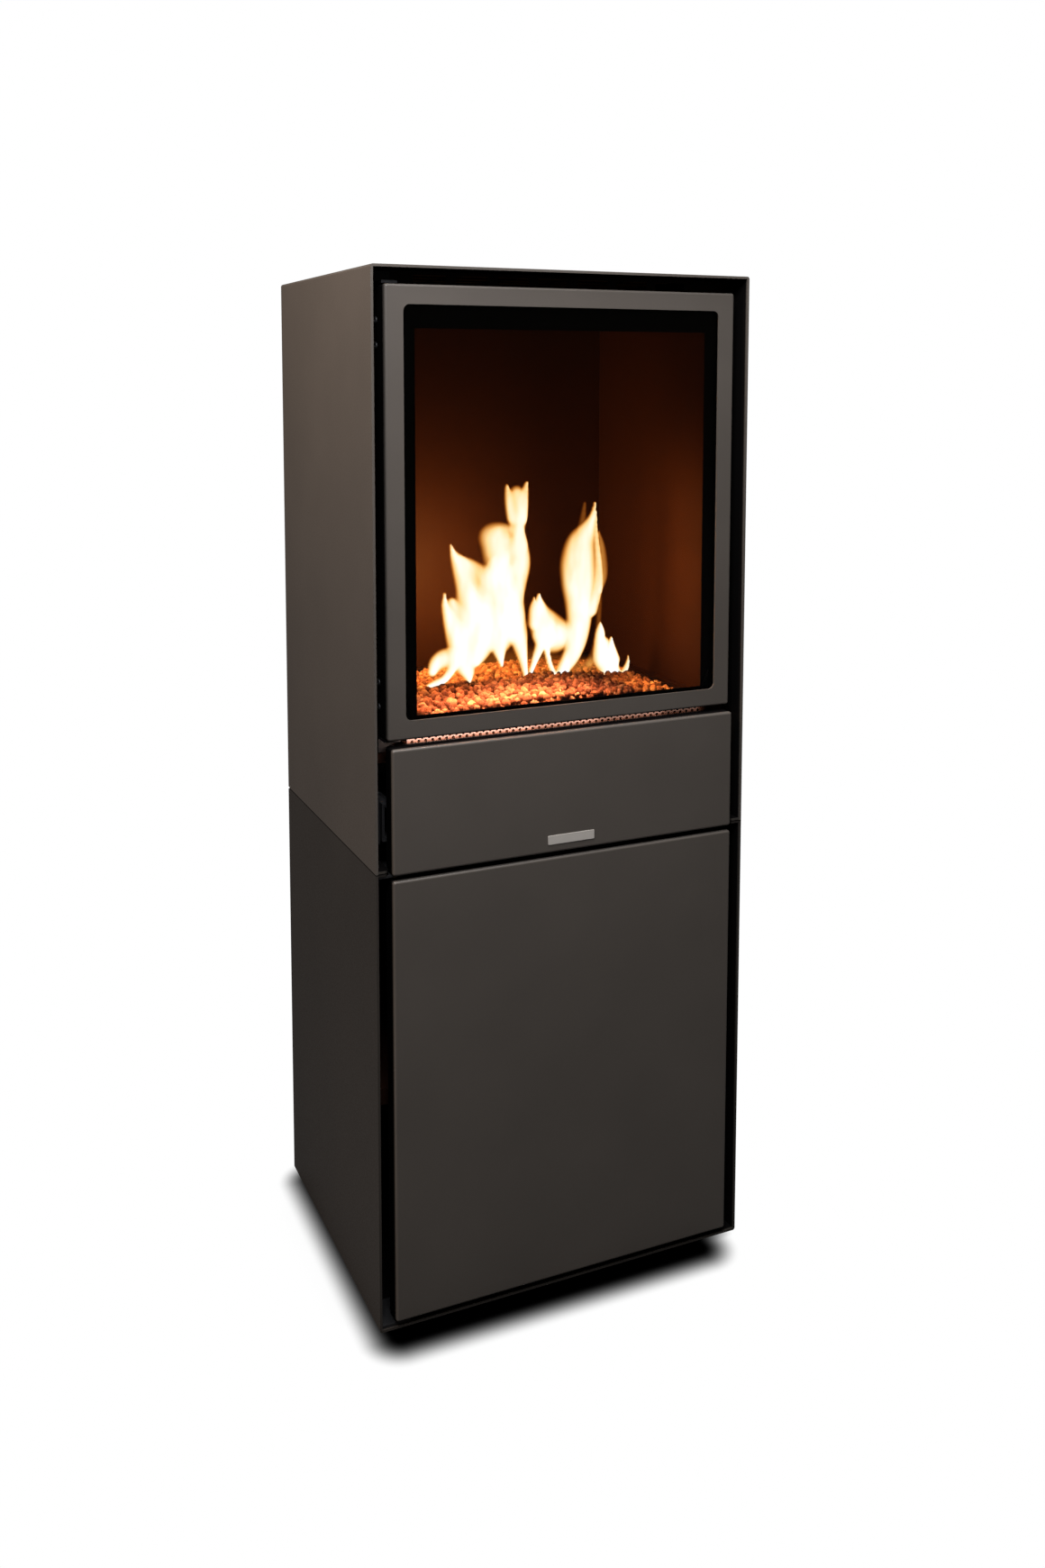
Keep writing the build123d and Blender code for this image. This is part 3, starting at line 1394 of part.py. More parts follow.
# ------------------------------------------------------------------ swing room at the hinges
corner_reach = hypot(hinge_inset, pivot_depth)
for door, gap in (("glazed door", window_side_gap), ("lower door", side_gap)):
    print(door, "corner reach", round(corner_reach, 2), "room beside the pivot", hinge_inset + gap)
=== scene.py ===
import json
import random
from math import pi, radians, sin

import bpy
from mathutils import Euler, Matrix, Vector


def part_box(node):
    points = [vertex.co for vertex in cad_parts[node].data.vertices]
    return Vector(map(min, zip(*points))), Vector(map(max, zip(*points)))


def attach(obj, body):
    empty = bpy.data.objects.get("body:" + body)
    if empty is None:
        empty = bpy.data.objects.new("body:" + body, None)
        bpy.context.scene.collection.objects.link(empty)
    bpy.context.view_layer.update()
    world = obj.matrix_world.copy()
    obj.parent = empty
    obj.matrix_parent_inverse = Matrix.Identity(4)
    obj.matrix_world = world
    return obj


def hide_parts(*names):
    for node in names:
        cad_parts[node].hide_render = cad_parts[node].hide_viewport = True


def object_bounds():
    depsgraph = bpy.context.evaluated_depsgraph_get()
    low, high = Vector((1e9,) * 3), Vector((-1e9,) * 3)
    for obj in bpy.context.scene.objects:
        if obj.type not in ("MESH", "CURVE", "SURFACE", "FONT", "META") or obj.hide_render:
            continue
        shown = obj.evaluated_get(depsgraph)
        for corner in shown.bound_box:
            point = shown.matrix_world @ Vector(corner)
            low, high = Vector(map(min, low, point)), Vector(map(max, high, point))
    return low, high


bl_info = {
    "name": "Bioethanol fireplace",
    "version": (1, 0, 0),
    "blender": (4, 5, 0),
    "location": "3D View > Sidebar > Fireplace",
    "description": "Dresses the packed frame of a free-standing bioethanol fireplace",
    "category": "Object",
}

MM = 0.001  # metres in a millimetre
TINY = 0.01 * MM  # places nearer than this are one place
FAR = 9.0  # metres: past every face of the object

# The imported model, and its box before anything is added
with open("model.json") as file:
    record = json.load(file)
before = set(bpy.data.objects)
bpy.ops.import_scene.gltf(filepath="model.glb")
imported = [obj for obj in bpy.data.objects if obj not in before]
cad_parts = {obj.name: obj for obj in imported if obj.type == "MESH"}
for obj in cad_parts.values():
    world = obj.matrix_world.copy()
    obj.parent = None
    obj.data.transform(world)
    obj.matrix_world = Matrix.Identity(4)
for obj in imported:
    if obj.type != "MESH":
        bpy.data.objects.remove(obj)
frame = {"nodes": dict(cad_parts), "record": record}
cad_low, cad_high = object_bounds()
nodes = frame["nodes"]
slots = {part["node"]: part["material_slot"] for part in frame["record"]["subparts"]}
body_of_node = {
    name: body
    for body, members in frame["record"]["behaviour"]["bodies"].items()
    for name in members
}

# The camera, worked out from the object's edges in the photograph
CAMERA_PLACE = (-0.7443, -1.6766, 1.1433)
CAMERA_YAW = 24.109  # degrees to the right of straight on
CAMERA_PITCH = 5.312  # degrees down
CAMERA_LENS = 31.85  # mm, for the sensor's width
CAMERA_SENSOR = 36.0  # mm
CAMERA_SHIFT = (0.0074, -0.1757)

# Studio lamps: name, place, aim, side of the square, watts and colour. Two soft boxes stand above
# the front left, so that their light falls off down the object. One hangs overhead, and the last
# is the light that the paper throws up on the left side.
STUDIO_LAMPS = (
    ("side_lamp", (-0.95, -0.25, 1.8), (-0.25, 0.0, 0.95), 0.5, 19.0, "#FFEBDC"),
    ("front_lamp", (-0.48, -1.08, 2.0), (0.0, -0.19, 1.1), 0.5, 32.0, "#F6F7FC"),
    ("top_lamp", (0.05, -0.5, 2.5), (0.05, -0.45, 0.0), 0.5, 29.0, "#FFFFFF"),
    ("floor_bounce", (-0.7, -0.2, 0.06), (-0.25, -0.15, 0.14), 0.25, 0.6, "#FFEBDC"),
)

# Folded sheet of the new pieces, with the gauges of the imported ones
FRONT_SHEET = 2.0 * MM
FRONT_LIP = 15.0 * MM  # turned in behind the drawer front and the lower door
WINDOW_SHEET = 2.5 * MM
STRIP_SHEET = 1.5 * MM
STRIP_UPSTAND = 12.0 * MM
STRIP_FOLD = 1.5 * MM
HOLE_RISES = (4.5 * MM, 8.4 * MM)  # from the strip's lower edge to each row of holes
BAFFLE_SHEET = 1.0 * MM
BAFFLE_DEPTH = 16.0 * MM
BAFFLE_FOLD = 2.0 * MM
BAFFLE_INSET = 30.0 * MM  # from the back panel's sides
BAFFLE_REACH = (25.0 * MM, 95.0 * MM)  # its foot and its head over the back panel's foot


# ------------------------------------------------------------------ sizes and colours
def length_property(name, description, millimetres):
    """A length that a user may change, held in metres."""
    return bpy.props.FloatProperty(
        name=name,
        description=description,
        default=millimetres * MM,
        min=0.0,
        precision=5,
        unit="LENGTH",
    )


def colour_property(name, description, default):
    """An sRGB colour as a hex value."""
    return bpy.props.StringProperty(name=name, description=description, default=default)


class FireplaceSizes(bpy.types.PropertyGroup):
    """Sizes that aren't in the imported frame."""

    fold_radius: length_property("Fold radius", "Outer radius of the fronts' folded edges", 3.0)
    corner_radius: length_property("Corner radius", "Radius where two folded edges meet", 3.2)
    window_border: length_property("Window border", "Width of the frame round the glass", 22.5)
    window_corner: length_property("Window corner", "Corner radius of the glazed opening", 8.0)
    window_return: length_property("Window return", "Depth of the head and foot returns", 10.0)
    hole_radius: length_property("Air hole radius", "Round holes of the air strip", 1.9)
    hole_pitch: length_property("Air hole pitch", "Spacing of the holes along a row", 8.7)
    plate_corner: length_property("Plate corner", "Corner radius of the blank plate", 1.2)
    granule: length_property("Granule size", "Mean size of a clay granule", 10.0)


class FireplaceColours(bpy.types.PropertyGroup):
    """Colours as sRGB hex values."""

    coat: colour_property("Powder coat", "Graphite powder coat of the sheet metal", "#46413C")
    stove_paint: colour_property("Stove paint", "Heat-proof paint in the chamber", "#1C0F09")
    floor: colour_property("Floor", "Floor and backdrop", "#FFFFFF")


# ------------------------------------------------------------------ small helpers
def sizes():
    return bpy.context.scene.fireplace_sizes


def colours():
    return bpy.context.scene.fireplace_colours


def linear(hex_value, share=1.0):
    """Linear colour with alpha from an sRGB hex value, or a share of its light."""
    channels = [int(hex_value[i : i + 2], 16) / 255 for i in (1, 3, 5)]
    light = (c / 12.92 if c <= 0.04045 else ((c + 0.055) / 1.055) ** 2.4 for c in channels)
    return tuple(min(1.0, share * c) for c in light) + (1.0,)


def deselect():
    bpy.ops.object.select_all(action="DESELECT")


def only(piece):
    """Makes a piece the only selected and the active one."""
    deselect()
    piece.select_set(True)
    bpy.context.view_layer.objects.active = piece


def join(pieces):
    """Joins pieces into the first of them, which is left active."""
    deselect()
    for piece in pieces:
        piece.select_set(True)
    bpy.context.view_layer.objects.active = pieces[0]
    bpy.ops.object.join()
    return pieces[0]


def box_piece(name, low, high):
    """Cube primitive between two corners, with its place in its mesh."""
    deselect()
    low, high = Vector(low), Vector(high)
    bpy.ops.mesh.primitive_cube_add(size=1, location=(low + high) / 2, scale=high - low)
    piece = bpy.context.object
    piece.name = name
    bpy.ops.object.transform_apply(location=True, rotation=True, scale=True)
    return piece


def select_faces(piece, wanted):
    """Selects the faces for which wanted(face) is true, leaving edit mode on."""
    bpy.ops.object.mode_set(mode="OBJECT")
    for element in (*piece.data.vertices, *piece.data.edges):
        element.select = False
    for face in piece.data.polygons:
        face.select = wanted(face)
    # in face mode a face isn't selected by its neighbours' edges
    bpy.context.tool_settings.mesh_select_mode = (False, False, True)
    bpy.ops.object.mode_set(mode="EDIT")


def select_edges(piece, wanted):
    """Selects the edges for which wanted(a, b) is true of their ends, leaving edit mode on."""
    bpy.ops.object.mode_set(mode="EDIT")
    bpy.ops.mesh.select_mode(type="EDGE")
    bpy.ops.mesh.select_all(action="DESELECT")
    bpy.ops.object.mode_set(mode="OBJECT")
    points = piece.data.vertices
    for edge in piece.data.edges:
        edge.select = wanted(*(points[i].co for i in edge.vertices))
    bpy.ops.object.mode_set(mode="EDIT")


def extrude(offset=(0, 0, 0)):
    """Extrudes what is selected in edit mode."""
    bpy.ops.mesh.extrude_region_move(TRANSFORM_OT_translate={"value": offset})


def modify(piece, kind, **settings):
    """Adds a modifier and applies it."""
    only(piece)
    modifier = piece.modifiers.new(kind, kind)
    for name, value in settings.items():
        setattr(modifier, name, value)
    bpy.ops.object.modifier_apply(modifier=modifier.name)


def smooth(piece, degrees=35):
    """Smooth shading up to an angle, with flat faces kept flat."""
    only(piece)
    bpy.ops.object.shade_smooth_by_angle(angle=radians(degrees))
    modify(piece, "WEIGHTED_NORMAL", keep_sharp=True, weight=100)


def settle(piece, node, material, stands_for=True):
    """A piece rides with its node's body, takes its slot and finish, and stands for it."""
    piece.data.materials.clear()
    piece.data.materials.append(material)
    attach(piece, body_of_node[node])
    if stands_for:
        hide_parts(node)


def add_lamp(name, kind, place, turn, colour, in_gloss=True, **settings):
    """Lamp that the camera doesn't see, and that a gloss sees unless told otherwise."""
    data = bpy.data.lights.new(name, kind)
    data.color = linear(colour)[:3]
    for setting, value in settings.items():
        setattr(data, setting, value)
    lamp = bpy.data.objects.new(name, data)
    lamp.location = place
    lamp.rotation_euler = turn
    lamp.visible_camera = False
    lamp.visible_glossy = in_gloss
    bpy.context.scene.collection.objects.link(lamp)


# ------------------------------------------------------------------ materials
def new_material(name):
    """Material without nodes."""
    material = bpy.data.materials.get(name) or bpy.data.materials.new(name)
    material.use_nodes = True
    material.node_tree.nodes.clear()
    return material, material.node_tree


def add_node(tree, kind, inputs=None, **settings):
    """Adds a node with its settings. An input is a value, a socket, or a node for its result."""
    made = tree.nodes.new("ShaderNode" + kind)
    for name, value in settings.items():
        setattr(made, name, value)
    for name, value in (inputs or {}).items():
        # a node may have several sockets of one name, with one of them in use
        socket = (
            made.inputs[name]
            if isinstance(name, int)
            else next(s for s in made.inputs if s.name == name and s.enabled)
        )
        if isinstance(value, bpy.types.Node):
            value = next(output for output in value.outputs if output.enabled)
        if isinstance(value, bpy.types.NodeSocket):
            tree.links.new(value, socket)
        else:
            socket.default_value = value
    return made


def powder_coated_steel(name, front=FAR, side=FAR, back=FAR, top=FAR, seam=None):
    """Sheet steel in sprayed and baked graphite powder: matt, with a fine even grain.

    Behind the front plane, inside the sides and the back and under the top, the coat is painted
    near black and loses its gloss: painted shade for the dark of the narrow gaps. A seam is where
    the two sleeves meet: a fine painted shadow line of the joint, over a lower sleeve painted
    darker, as painted shade of the light falling off down the object.
    """
    material, tree = new_material(name)
    place = add_node(tree, "TexCoord").outputs["Object"]
    # a grain of 0.4 mm wouldn't show in the render, so it is drawn 1.6 mm coarse
    grain = add_node(tree, "TexNoise", {"Vector": place, "Scale": 1 / (1.6 * MM), "Detail": 2.0})
    # the coat's thickness wanders over about 110 mm
    cloud = add_node(tree, "TexNoise", {"Vector": place, "Scale": 9.0, "Detail": 3.0})
    coat = colours().coat
    tint = add_node(
        tree,
        "Mix",
        {"Factor": cloud, "A": linear(coat, 0.86), "B": linear(coat, 1.12)},
        data_type="RGBA",
    )
    axes = add_node(tree, "SeparateXYZ", {"Vector": place}).outputs
    out = add_node(tree, "Math", {0: axes["X"]}, operation="ABSOLUTE")
    # painted shade: seen falls to 0 behind the front plane and past a side, the back or the top,
    # where the coat is drawn as the near black of the gaps
    seen = add_node(
        tree, "MapRange", {"Value": axes["Y"], "From Min": front + 3.5 * MM, "From Max": front}
    )
    for value, plane in ((out, side), (axes["Y"], back), (axes["Z"], top)):
        face = add_node(
            tree, "MapRange", {"Value": value, "From Min": plane - 0.5 * MM, "From Max": plane}
        )
        seen = add_node(tree, "Math", {0: seen, 1: face}, operation="MAXIMUM")
    # painted shadow: a fine dark line along the joint of the two sleeves
    if seam:
        off = add_node(tree, "Math", {0: axes["Z"], 1: seam}, operation="SUBTRACT")
        off = add_node(tree, "Math", {0: off}, operation="ABSOLUTE")
        line = add_node(
            tree, "MapRange", {"Value": off, "From Min": 0.5 * MM, "From Max": 0.9 * MM}
        )
        # painted shade: below the seam the whole lower sleeve is drawn darker, for the light falling
        # off down the object
        dull = add_node(
            tree,
            "MapRange",
            {
                "Value": axes["Z"],
                "From Min": seam - 1 * MM,
                "From Max": seam + 1 * MM,
                "To Min": 0.45,
            },
        )
        line = add_node(tree, "Math", {0: line, 1: dull}, operation="MULTIPLY")
        seen = add_node(tree, "Math", {0: seen, 1: line}, operation="MULTIPLY")
    # the near black #0A0909 is painted shade, not a colour of the coat
    shade = add_node(
        tree, "Mix", {"Factor": seen, "A": linear("#0A0909"), "B": tint}, data_type="RGBA"
    )
    # the painted shade takes the gloss away too
    gloss = add_node(tree, "Math", {0: seen, 1: 0.42}, operation="MULTIPLY")
    speck = add_node(
        tree,
        "MapRange",
        {"Value": grain, "From Min": 0.35, "From Max": 0.65, "To Min": 0.42, "To Max": 0.54},
    )
    bump = add_node(tree, "Bump", {"Height": grain, "Strength": 0.1, "Distance": 0.3 * MM})
    shader = add_node(
        tree,
        "BsdfPrincipled",
        {
            "Base Color": shade,
            "Roughness": speck,
            "Normal": bump,
            "IOR": 1.5,
            "Specular IOR Level": gloss,
        },
    )
    add_node(tree, "OutputMaterial", {"Surface": shader})
    return material


def mottled(
    name,
    colour,
    spread,
    scale_mm,
    roughness,
    metallic=0.0,
    bump=0.0,
    stretch=(1, 1, 1),
    gloss=0.5,
):
    """Finish whose colour, roughness and relief wander in patches of a real size."""
    material, tree = new_material(name)
    place = add_node(tree, "TexCoord").outputs["Object"]
    drawn = add_node(tree, "Mapping", {"Vector": place, "Scale": stretch})
    noise = add_node(
        tree, "TexNoise", {"Vector": drawn, "Scale": 1 / (scale_mm * MM), "Detail": 3.0}
    )
    tint = add_node(
        tree,
        "Mix",
        {"Factor": noise, "A": linear(colour, 1 - spread), "B": linear(colour, 1 + spread)},
        data_type="RGBA",
    )
    rough = add_node(
        tree,
        "MapRange",
        {"Value": noise, "To Min": roughness * 0.85, "To Max": min(1.0, roughness * 1.15)},
    )
    relief = add_node(
        tree, "Bump", {"Height": noise, "Strength": bump, "Distance": scale_mm * MM / 4}
    )
    shader = add_node(
        tree,
        "BsdfPrincipled",
        {
            "Base Color": tint,
            "Roughness": rough,
            "Normal": relief,
            "Metallic": metallic,
            "Specular IOR Level": gloss,
        },
    )
    add_node(tree, "OutputMaterial", {"Surface": shader})
    return material


def graphite_coat():
    """The powder coat with none of the painted shade of the narrow gaps."""
    return powder_coated_steel("powder_coated_steel_graphite")


def stove_painted_steel():
    """Sprayed heat-proof paint: near black, satin, and it takes the fire's orange."""
    return mottled("stove_painted_steel", colours().stove_paint, 0.12, 30.0, 0.45, gloss=0.08)


def blackened_steel():
    """Near-black steel for the dark band seen behind the edge of the glass."""
    return mottled("blackened_steel", "#080707", 0.2, 20.0, 0.6, gloss=0.1)


def brushed_stainless_steel():
    """Brushed stainless: fine lines along X that stretch the highlights."""
    return mottled(
        "brushed_stainless_steel",
        "#B8B4AC",
        0.08,
        1.2,
        0.34,
        metallic=1.0,
        bump=0.06,
        stretch=(0.04, 1, 1),
    )


def satin_stainless_steel():
    """Satin stainless drawn mostly matt: its even pale silver is a painted reflection of bright
    surroundings, with a little real metal gloss.
    """
    return mottled("satin_stainless_steel", "#B4AFA8", 0.04, 6.0, 0.4, metallic=0.25)


def zinc_plated_steel():
    """Bright zinc plate: cool grey with a soft spangle."""
    return mottled("zinc_plated_steel", "#A9ACAE", 0.12, 12.0, 0.36, metallic=1.0)


def passivated_zinc_steel():
    """Black passivated zinc on brackets and runners: dark grey and dull."""
    return mottled("passivated_zinc_steel", "#2E2E2F", 0.2, 10.0, 0.5, metallic=0.6, gloss=0.2)


def turned_brass():
    """Turned brass: yellow metal with fine rings left by the tool."""
    return mottled("turned_brass", "#C29A4E", 0.08, 1.0, 0.3, metallic=1.0, stretch=(0.1, 0.1, 1))


def woven_glass_fibre():
    """Flat glass-fibre tape: grey, matt, with a coarse weave."""
    return mottled("woven_glass_fibre", "#8A8680", 0.2, 1.5, 0.9, bump=0.5)


def ceramic_wool():
    """Pressed ceramic wool: off white and dull."""
    return mottled("ceramic_wool", "#E4E1D8", 0.06, 3.0, 0.95, bump=0.5)


def moulded_rubber():
    """Moulded rubber: black and dull, with a slight bloom."""
    return mottled("moulded_rubber", "#1B1B1A", 0.2, 8.0, 0.75, bump=0.1)


def moulded_plastic():
    """Moulded black plastic: fine grain and a soft sheen."""
    return mottled("moulded_plastic_black", "#161616", 0.15, 1.2, 0.5, bump=0.15)


def fired_clay():
    """Crushed fired clay: dry and dull, each granule its own shade of terracotta."""
    material, tree = new_material("fired_clay_granulate")
    place = add_node(tree, "TexCoord").outputs["Object"]
    shade = add_node(tree, "Attribute", attribute_name="granule_colour", attribute_type="GEOMETRY")
    pores = add_node(tree, "TexNoise", {"Vector": place, "Scale": 1 / (2.0 * MM), "Detail": 3.0})
    stain = add_node(tree, "MapRange", {"Value": pores, "To Min": 0.7, "To Max": 1.25})
    tint = add_node(tree, "HueSaturation", {"Color": shade, "Value": stain})
    bump = add_node(tree, "Bump", {"Height": pores, "Strength": 0.3, "Distance": 0.4 * MM})
    shader = add_node(
        tree, "BsdfPrincipled", {"Base Color": tint, "Roughness": 0.9, "Normal": bump}
    )
    add_node(tree, "OutputMaterial", {"Surface": shader})
    return material


def ceramic_glass():
    """Rolled and polished ceramic fire glass: a slight grey and a plain reflection."""
    material, tree = new_material("ceramic_glass_clear")
    # seen through it is clear, but little of the lamps' light passes into the dark chamber
    path = add_node(tree, "LightPath")
    tint = add_node(
        tree, "MapRange", {"Value": path.outputs["Is Shadow Ray"], "To Min": 0.93, "To Max": 0.08}
    )
    clear = add_node(tree, "BsdfTransparent", {"Color": tint})
    polish = add_node(tree, "BsdfGlossy", {"Color": (1, 1, 1, 1), "Roughness": 0.02})
    facing = add_node(tree, "Fresnel", {"IOR": 1.5})
    share = add_node(tree, "Math", {0: facing, 1: 0.1}, operation="MULTIPLY")
    mixed = add_node(tree, "MixShader", {0: share, 1: clear, 2: polish})
    add_node(tree, "OutputMaterial", {"Surface": mixed})
    return material


def burning_ethanol():
    """Burning ethanol: white where it is hottest, orange and clear at its edges."""
    material, tree = new_material("burning_ethanol")
    warmth = add_node(
        tree,
        "Attribute",
        attribute_name="flame_warmth",
        attribute_type="GEOMETRY",
    ).outputs["Fac"]
    place = add_node(tree, "TexCoord").outputs["Object"]
    # streaks about 17 mm wide, drawn out upwards
    drawn = add_node(tree, "Mapping", {"Vector": place, "Scale": (1, 1, 0.35)})
    streak = add_node(tree, "TexNoise", {"Vector": drawn, "Scale": 60.0, "Detail": 1.0})
    wander = add_node(tree, "MapRange", {"Value": streak, "To Min": 0.6, "To Max": 1.35})
    level = add_node(tree, "Math", {0: warmth, 1: wander}, operation="MULTIPLY")
    colour = add_node(tree, "ValToRGB", {"Fac": level})
    ramp = colour.color_ramp
    ramp.elements[0].position, ramp.elements[0].color = 0.0, linear("#8A2A06")
    ramp.elements[1].position, ramp.elements[1].color = 0.95, linear("#FFFEFA")
    for position, shade in (
        (0.12, "#D9701C"),
        (0.28, "#F9A94C"),
        (0.5, "#FFD997"),
        (0.72, "#FFF3DA"),
    ):
        ramp.elements.new(position).color = linear(shade)
    cover = add_node(
        tree,
        "MapRange",
        {"Value": warmth, "From Min": 0.0, "From Max": 0.5},
        interpolation_type="SMOOTHSTEP",
    )
    clear = add_node(tree, "BsdfTransparent")
    # the light thrown on the chamber comes from the warm lamps, so the sheet itself gives little
    path = add_node(tree, "LightPath")
    strength = add_node(
        tree, "MapRange", {"Value": path.outputs["Is Camera Ray"], "To Min": 0.1, "To Max": 1.3}
    )
    glow = add_node(tree, "Emission", {"Color": colour, "Strength": strength})
    mixed = add_node(tree, "MixShader", {0: cover, 1: clear, 2: glow})
    add_node(tree, "OutputMaterial", {"Surface": mixed})
    return material


def seamless_paper():
    """Seamless white paper, burnt out: pure white but for a painted shadow round the base."""
    material, tree = new_material("seamless_paper_white")
    path = add_node(tree, "LightPath").outputs
    # seen at full strength a satin coat would turn grey, so a gloss sees a tenth of it
    gloss = add_node(tree, "Math", {0: path["Is Glossy Ray"], 1: 0.1}, operation="MULTIPLY")
    seen = path["Is Camera Ray"]
    for ray in (gloss, path["Is Transmission Ray"]):
        seen = add_node(tree, "Math", {0: seen, 1: ray}, operation="MAXIMUM")
    # a painted shadow: a narrow dark band round the base, reaching further out at the front and the
    # left
    place = add_node(tree, "TexCoord").outputs["Object"]
    beyond = add_node(tree, "VectorMath", {0: place, 1: (18 * MM, 14 * MM, 0)}, operation="ADD")
    beyond = add_node(tree, "VectorMath", {0: beyond}, operation="ABSOLUTE")
    edge = (cad_high[0] - 44 * MM, cad_high[1] - 17 * MM, 1)
    for value, operation in ((edge, "SUBTRACT"), ((0, 0, 0), "MAXIMUM")):
        beyond = add_node(tree, "VectorMath", {0: beyond, 1: value}, operation=operation)
    away = add_node(tree, "VectorMath", {0: beyond}, operation="LENGTH")
    painted_shadow_band = add_node(
        tree,
        "MapRange",
        {"Value": away, "From Min": 6 * MM, "From Max": 58 * MM},
        interpolation_type="SMOOTHSTEP",
    )
    painted_shadow_band = add_node(tree, "Math", {0: painted_shadow_band, 1: 2.2}, operation="POWER")
    # and a painted soft shade, drawn from how close the floor is to what stands out, such as an open
    # door
    near = add_node(tree, "AmbientOcclusion", {"Distance": 0.12}, samples=8)
    soft = add_node(
        tree,
        "MapRange",
        {"Value": near.outputs["AO"], "From Min": 0.0, "From Max": 0.55, "To Min": 0.4},
    )
    shadow = add_node(tree, "Math", {0: painted_shadow_band, 1: soft}, operation="MULTIPLY")
    floor = colours().floor
    paper = add_node(tree, "BsdfDiffuse", {"Color": linear(floor, 0.05)})
    white = add_node(tree, "Emission", {"Color": linear(floor), "Strength": shadow})
    mixed = add_node(tree, "MixShader", {0: seen, 1: paper, 2: white})
    add_node(tree, "OutputMaterial", {"Surface": mixed})
    return material


SLOT_MATERIALS = {
    "graphite_coat": graphite_coat,
    "chamber_paint": stove_painted_steel,
    "stainless": brushed_stainless_steel,
    "zinc_steel": zinc_plated_steel,
    "bush_brass": turned_brass,
    "fibre_seal": woven_glass_fibre,
    "wick_wool": ceramic_wool,
    "pad_rubber": moulded_rubber,
    "black_plastic": moulded_plastic,
    "clay_granulate": fired_clay,
    "ceramic_glass": ceramic_glass,
}


# ------------------------------------------------------------------ operators
class BuildStage(bpy.types.Operator):
    """Camera, floor, lamps and world"""

    bl_idname = "fireplace.stage"
    bl_label = "Stage"

    def execute(self, context):
        scene = context.scene
        scene.view_settings.view_transform = "Standard"
        self.camera(scene)
        deselect()
        bpy.ops.mesh.primitive_plane_add(size=24)
        plane = context.object
        plane.name = "floor"
        plane.data.materials.append(seamless_paper())
        self.world(scene)
        for name, place, aim, size, power, colour in STUDIO_LAMPS:
            turn = (Vector(aim) - Vector(place)).to_track_quat("-Z", "Y").to_euler()
            add_lamp(name, "AREA", place, turn, colour, shape="SQUARE", size=size, energy=power)
        return {"FINISHED"}

    def camera(self, scene):
        data = bpy.data.cameras.new("photo_camera")
        data.lens = CAMERA_LENS
        data.sensor_width = CAMERA_SENSOR
        data.shift_x, data.shift_y = CAMERA_SHIFT
        data.clip_start, data.clip_end = 0.05, 60.0
        camera = bpy.data.objects.new("photo_camera", data)
        camera.location = CAMERA_PLACE
        camera.rotation_euler = (radians(90 - CAMERA_PITCH), 0, radians(-CAMERA_YAW))
        scene.collection.objects.link(camera)
        scene.camera = camera

    def world(self, scene):
        """White to the camera, and a faint warm fill for the object."""
        world = bpy.data.worlds.new("studio")
        world.use_nodes = True
        tree = world.node_tree
        tree.nodes.clear()
        path = add_node(tree, "LightPath")
        fill = add_node(tree, "Background", {"Color": linear("#FFF2E4"), "Strength": 0.1})
        shown = add_node(tree, "Background", {"Color": linear(colours().floor), "Strength": 1.0})
        mixed = add_node(tree, "MixShader", {0: path.outputs["Is Camera Ray"], 1: fill, 2: shown})
        add_node(tree, "OutputWorld", {"Surface": mixed})
        scene.world = world


class PaintFrame(bpy.types.Operator):
    """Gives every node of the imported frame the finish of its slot"""

    bl_idname = "fireplace.paint_frame"
    bl_label = "Paint the frame"

    def execute(self, context):
        made = {slot: make() for slot, make in SLOT_MATERIALS.items()}
        dull = passivated_zinc_steel()
        for name, piece in nodes.items():
            slot = slots[name]
            piece.data.materials.clear()
            piece.data.materials.append(made[slot])
            if slot == "zinc_steel" and name.startswith(("runner_", "window_", "door_")):
                piece.data.materials[0] = dull
        # the sleeves' coat gets painted shade behind their front and past their sides, back and top,
        # and a painted shadow line at the seam, over a lower sleeve painted darker
        low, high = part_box("upper_casing")
        side, back, top = (edge - 0.5 * MM for edge in high)
        sleeve = powder_coated_steel(
            "powder_coated_steel_sleeve_painted_shade", low.y + 0.3 * MM, side, back, top, low.z
        )
        for name in ("upper_casing", "lower_casing"):
            nodes[name].data.materials[0] = sleeve
        nodes["glass_retainer"].data.materials[0] = blackened_steel()
        return {"FINISHED"}


def folded_box(name, low, high):
    """Box open at the back, with rounded corners and a rounded edge round its front."""
    piece = box_piece(name, low, high)
    select_faces(piece, lambda f: f.normal.y > 0.5)
    bpy.ops.mesh.delete(type="FACE")
    select_edges(piece, lambda a, b: abs(a.y - b.y) > TINY)
    bpy.ops.mesh.bevel(offset=sizes().corner_radius, segments=4)
    select_edges(piece, lambda a, b: max(a.y, b.y) < low.y + TINY)
    bpy.ops.mesh.bevel(offset=sizes().fold_radius, segments=5)
    return piece


class BuildFronts(bpy.types.Operator):
    """Drawer front and lower door: four rounded sides, and lips turned in behind"""

    bl_idname = "fireplace.fronts"
    bl_label = "Drawer front and lower door"

    def execute(self, context):
        # painted shade: the coat turns near black from 3 mm behind the fronts' face, where their
        # returns lie in the dark gaps
        coat = powder_coated_steel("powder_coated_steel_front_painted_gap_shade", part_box("lower_door")[0].y + 3 * MM)
        for name, node in (("drawer_skin", "drawer_front"), ("door_skin", "lower_door")):
            low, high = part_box(node)
            piece = folded_box(name, low, high)
            select_edges(piece, lambda a, b: min(a.y, b.y) > high.y - TINY)
            extrude()
            size = high - low
            bpy.ops.transform.resize(
                value=(1 - 2 * FRONT_LIP / size.x, 1, 1 - 2 * FRONT_LIP / size.z),
                center_override=(low + high) / 2,
            )
            bpy.ops.object.mode_set(mode="OBJECT")
            modify(piece, "SOLIDIFY", thickness=FRONT_SHEET, offset=-1)
            smooth(piece)
            settle(piece, node, coat)
        return {"FINISHED"}


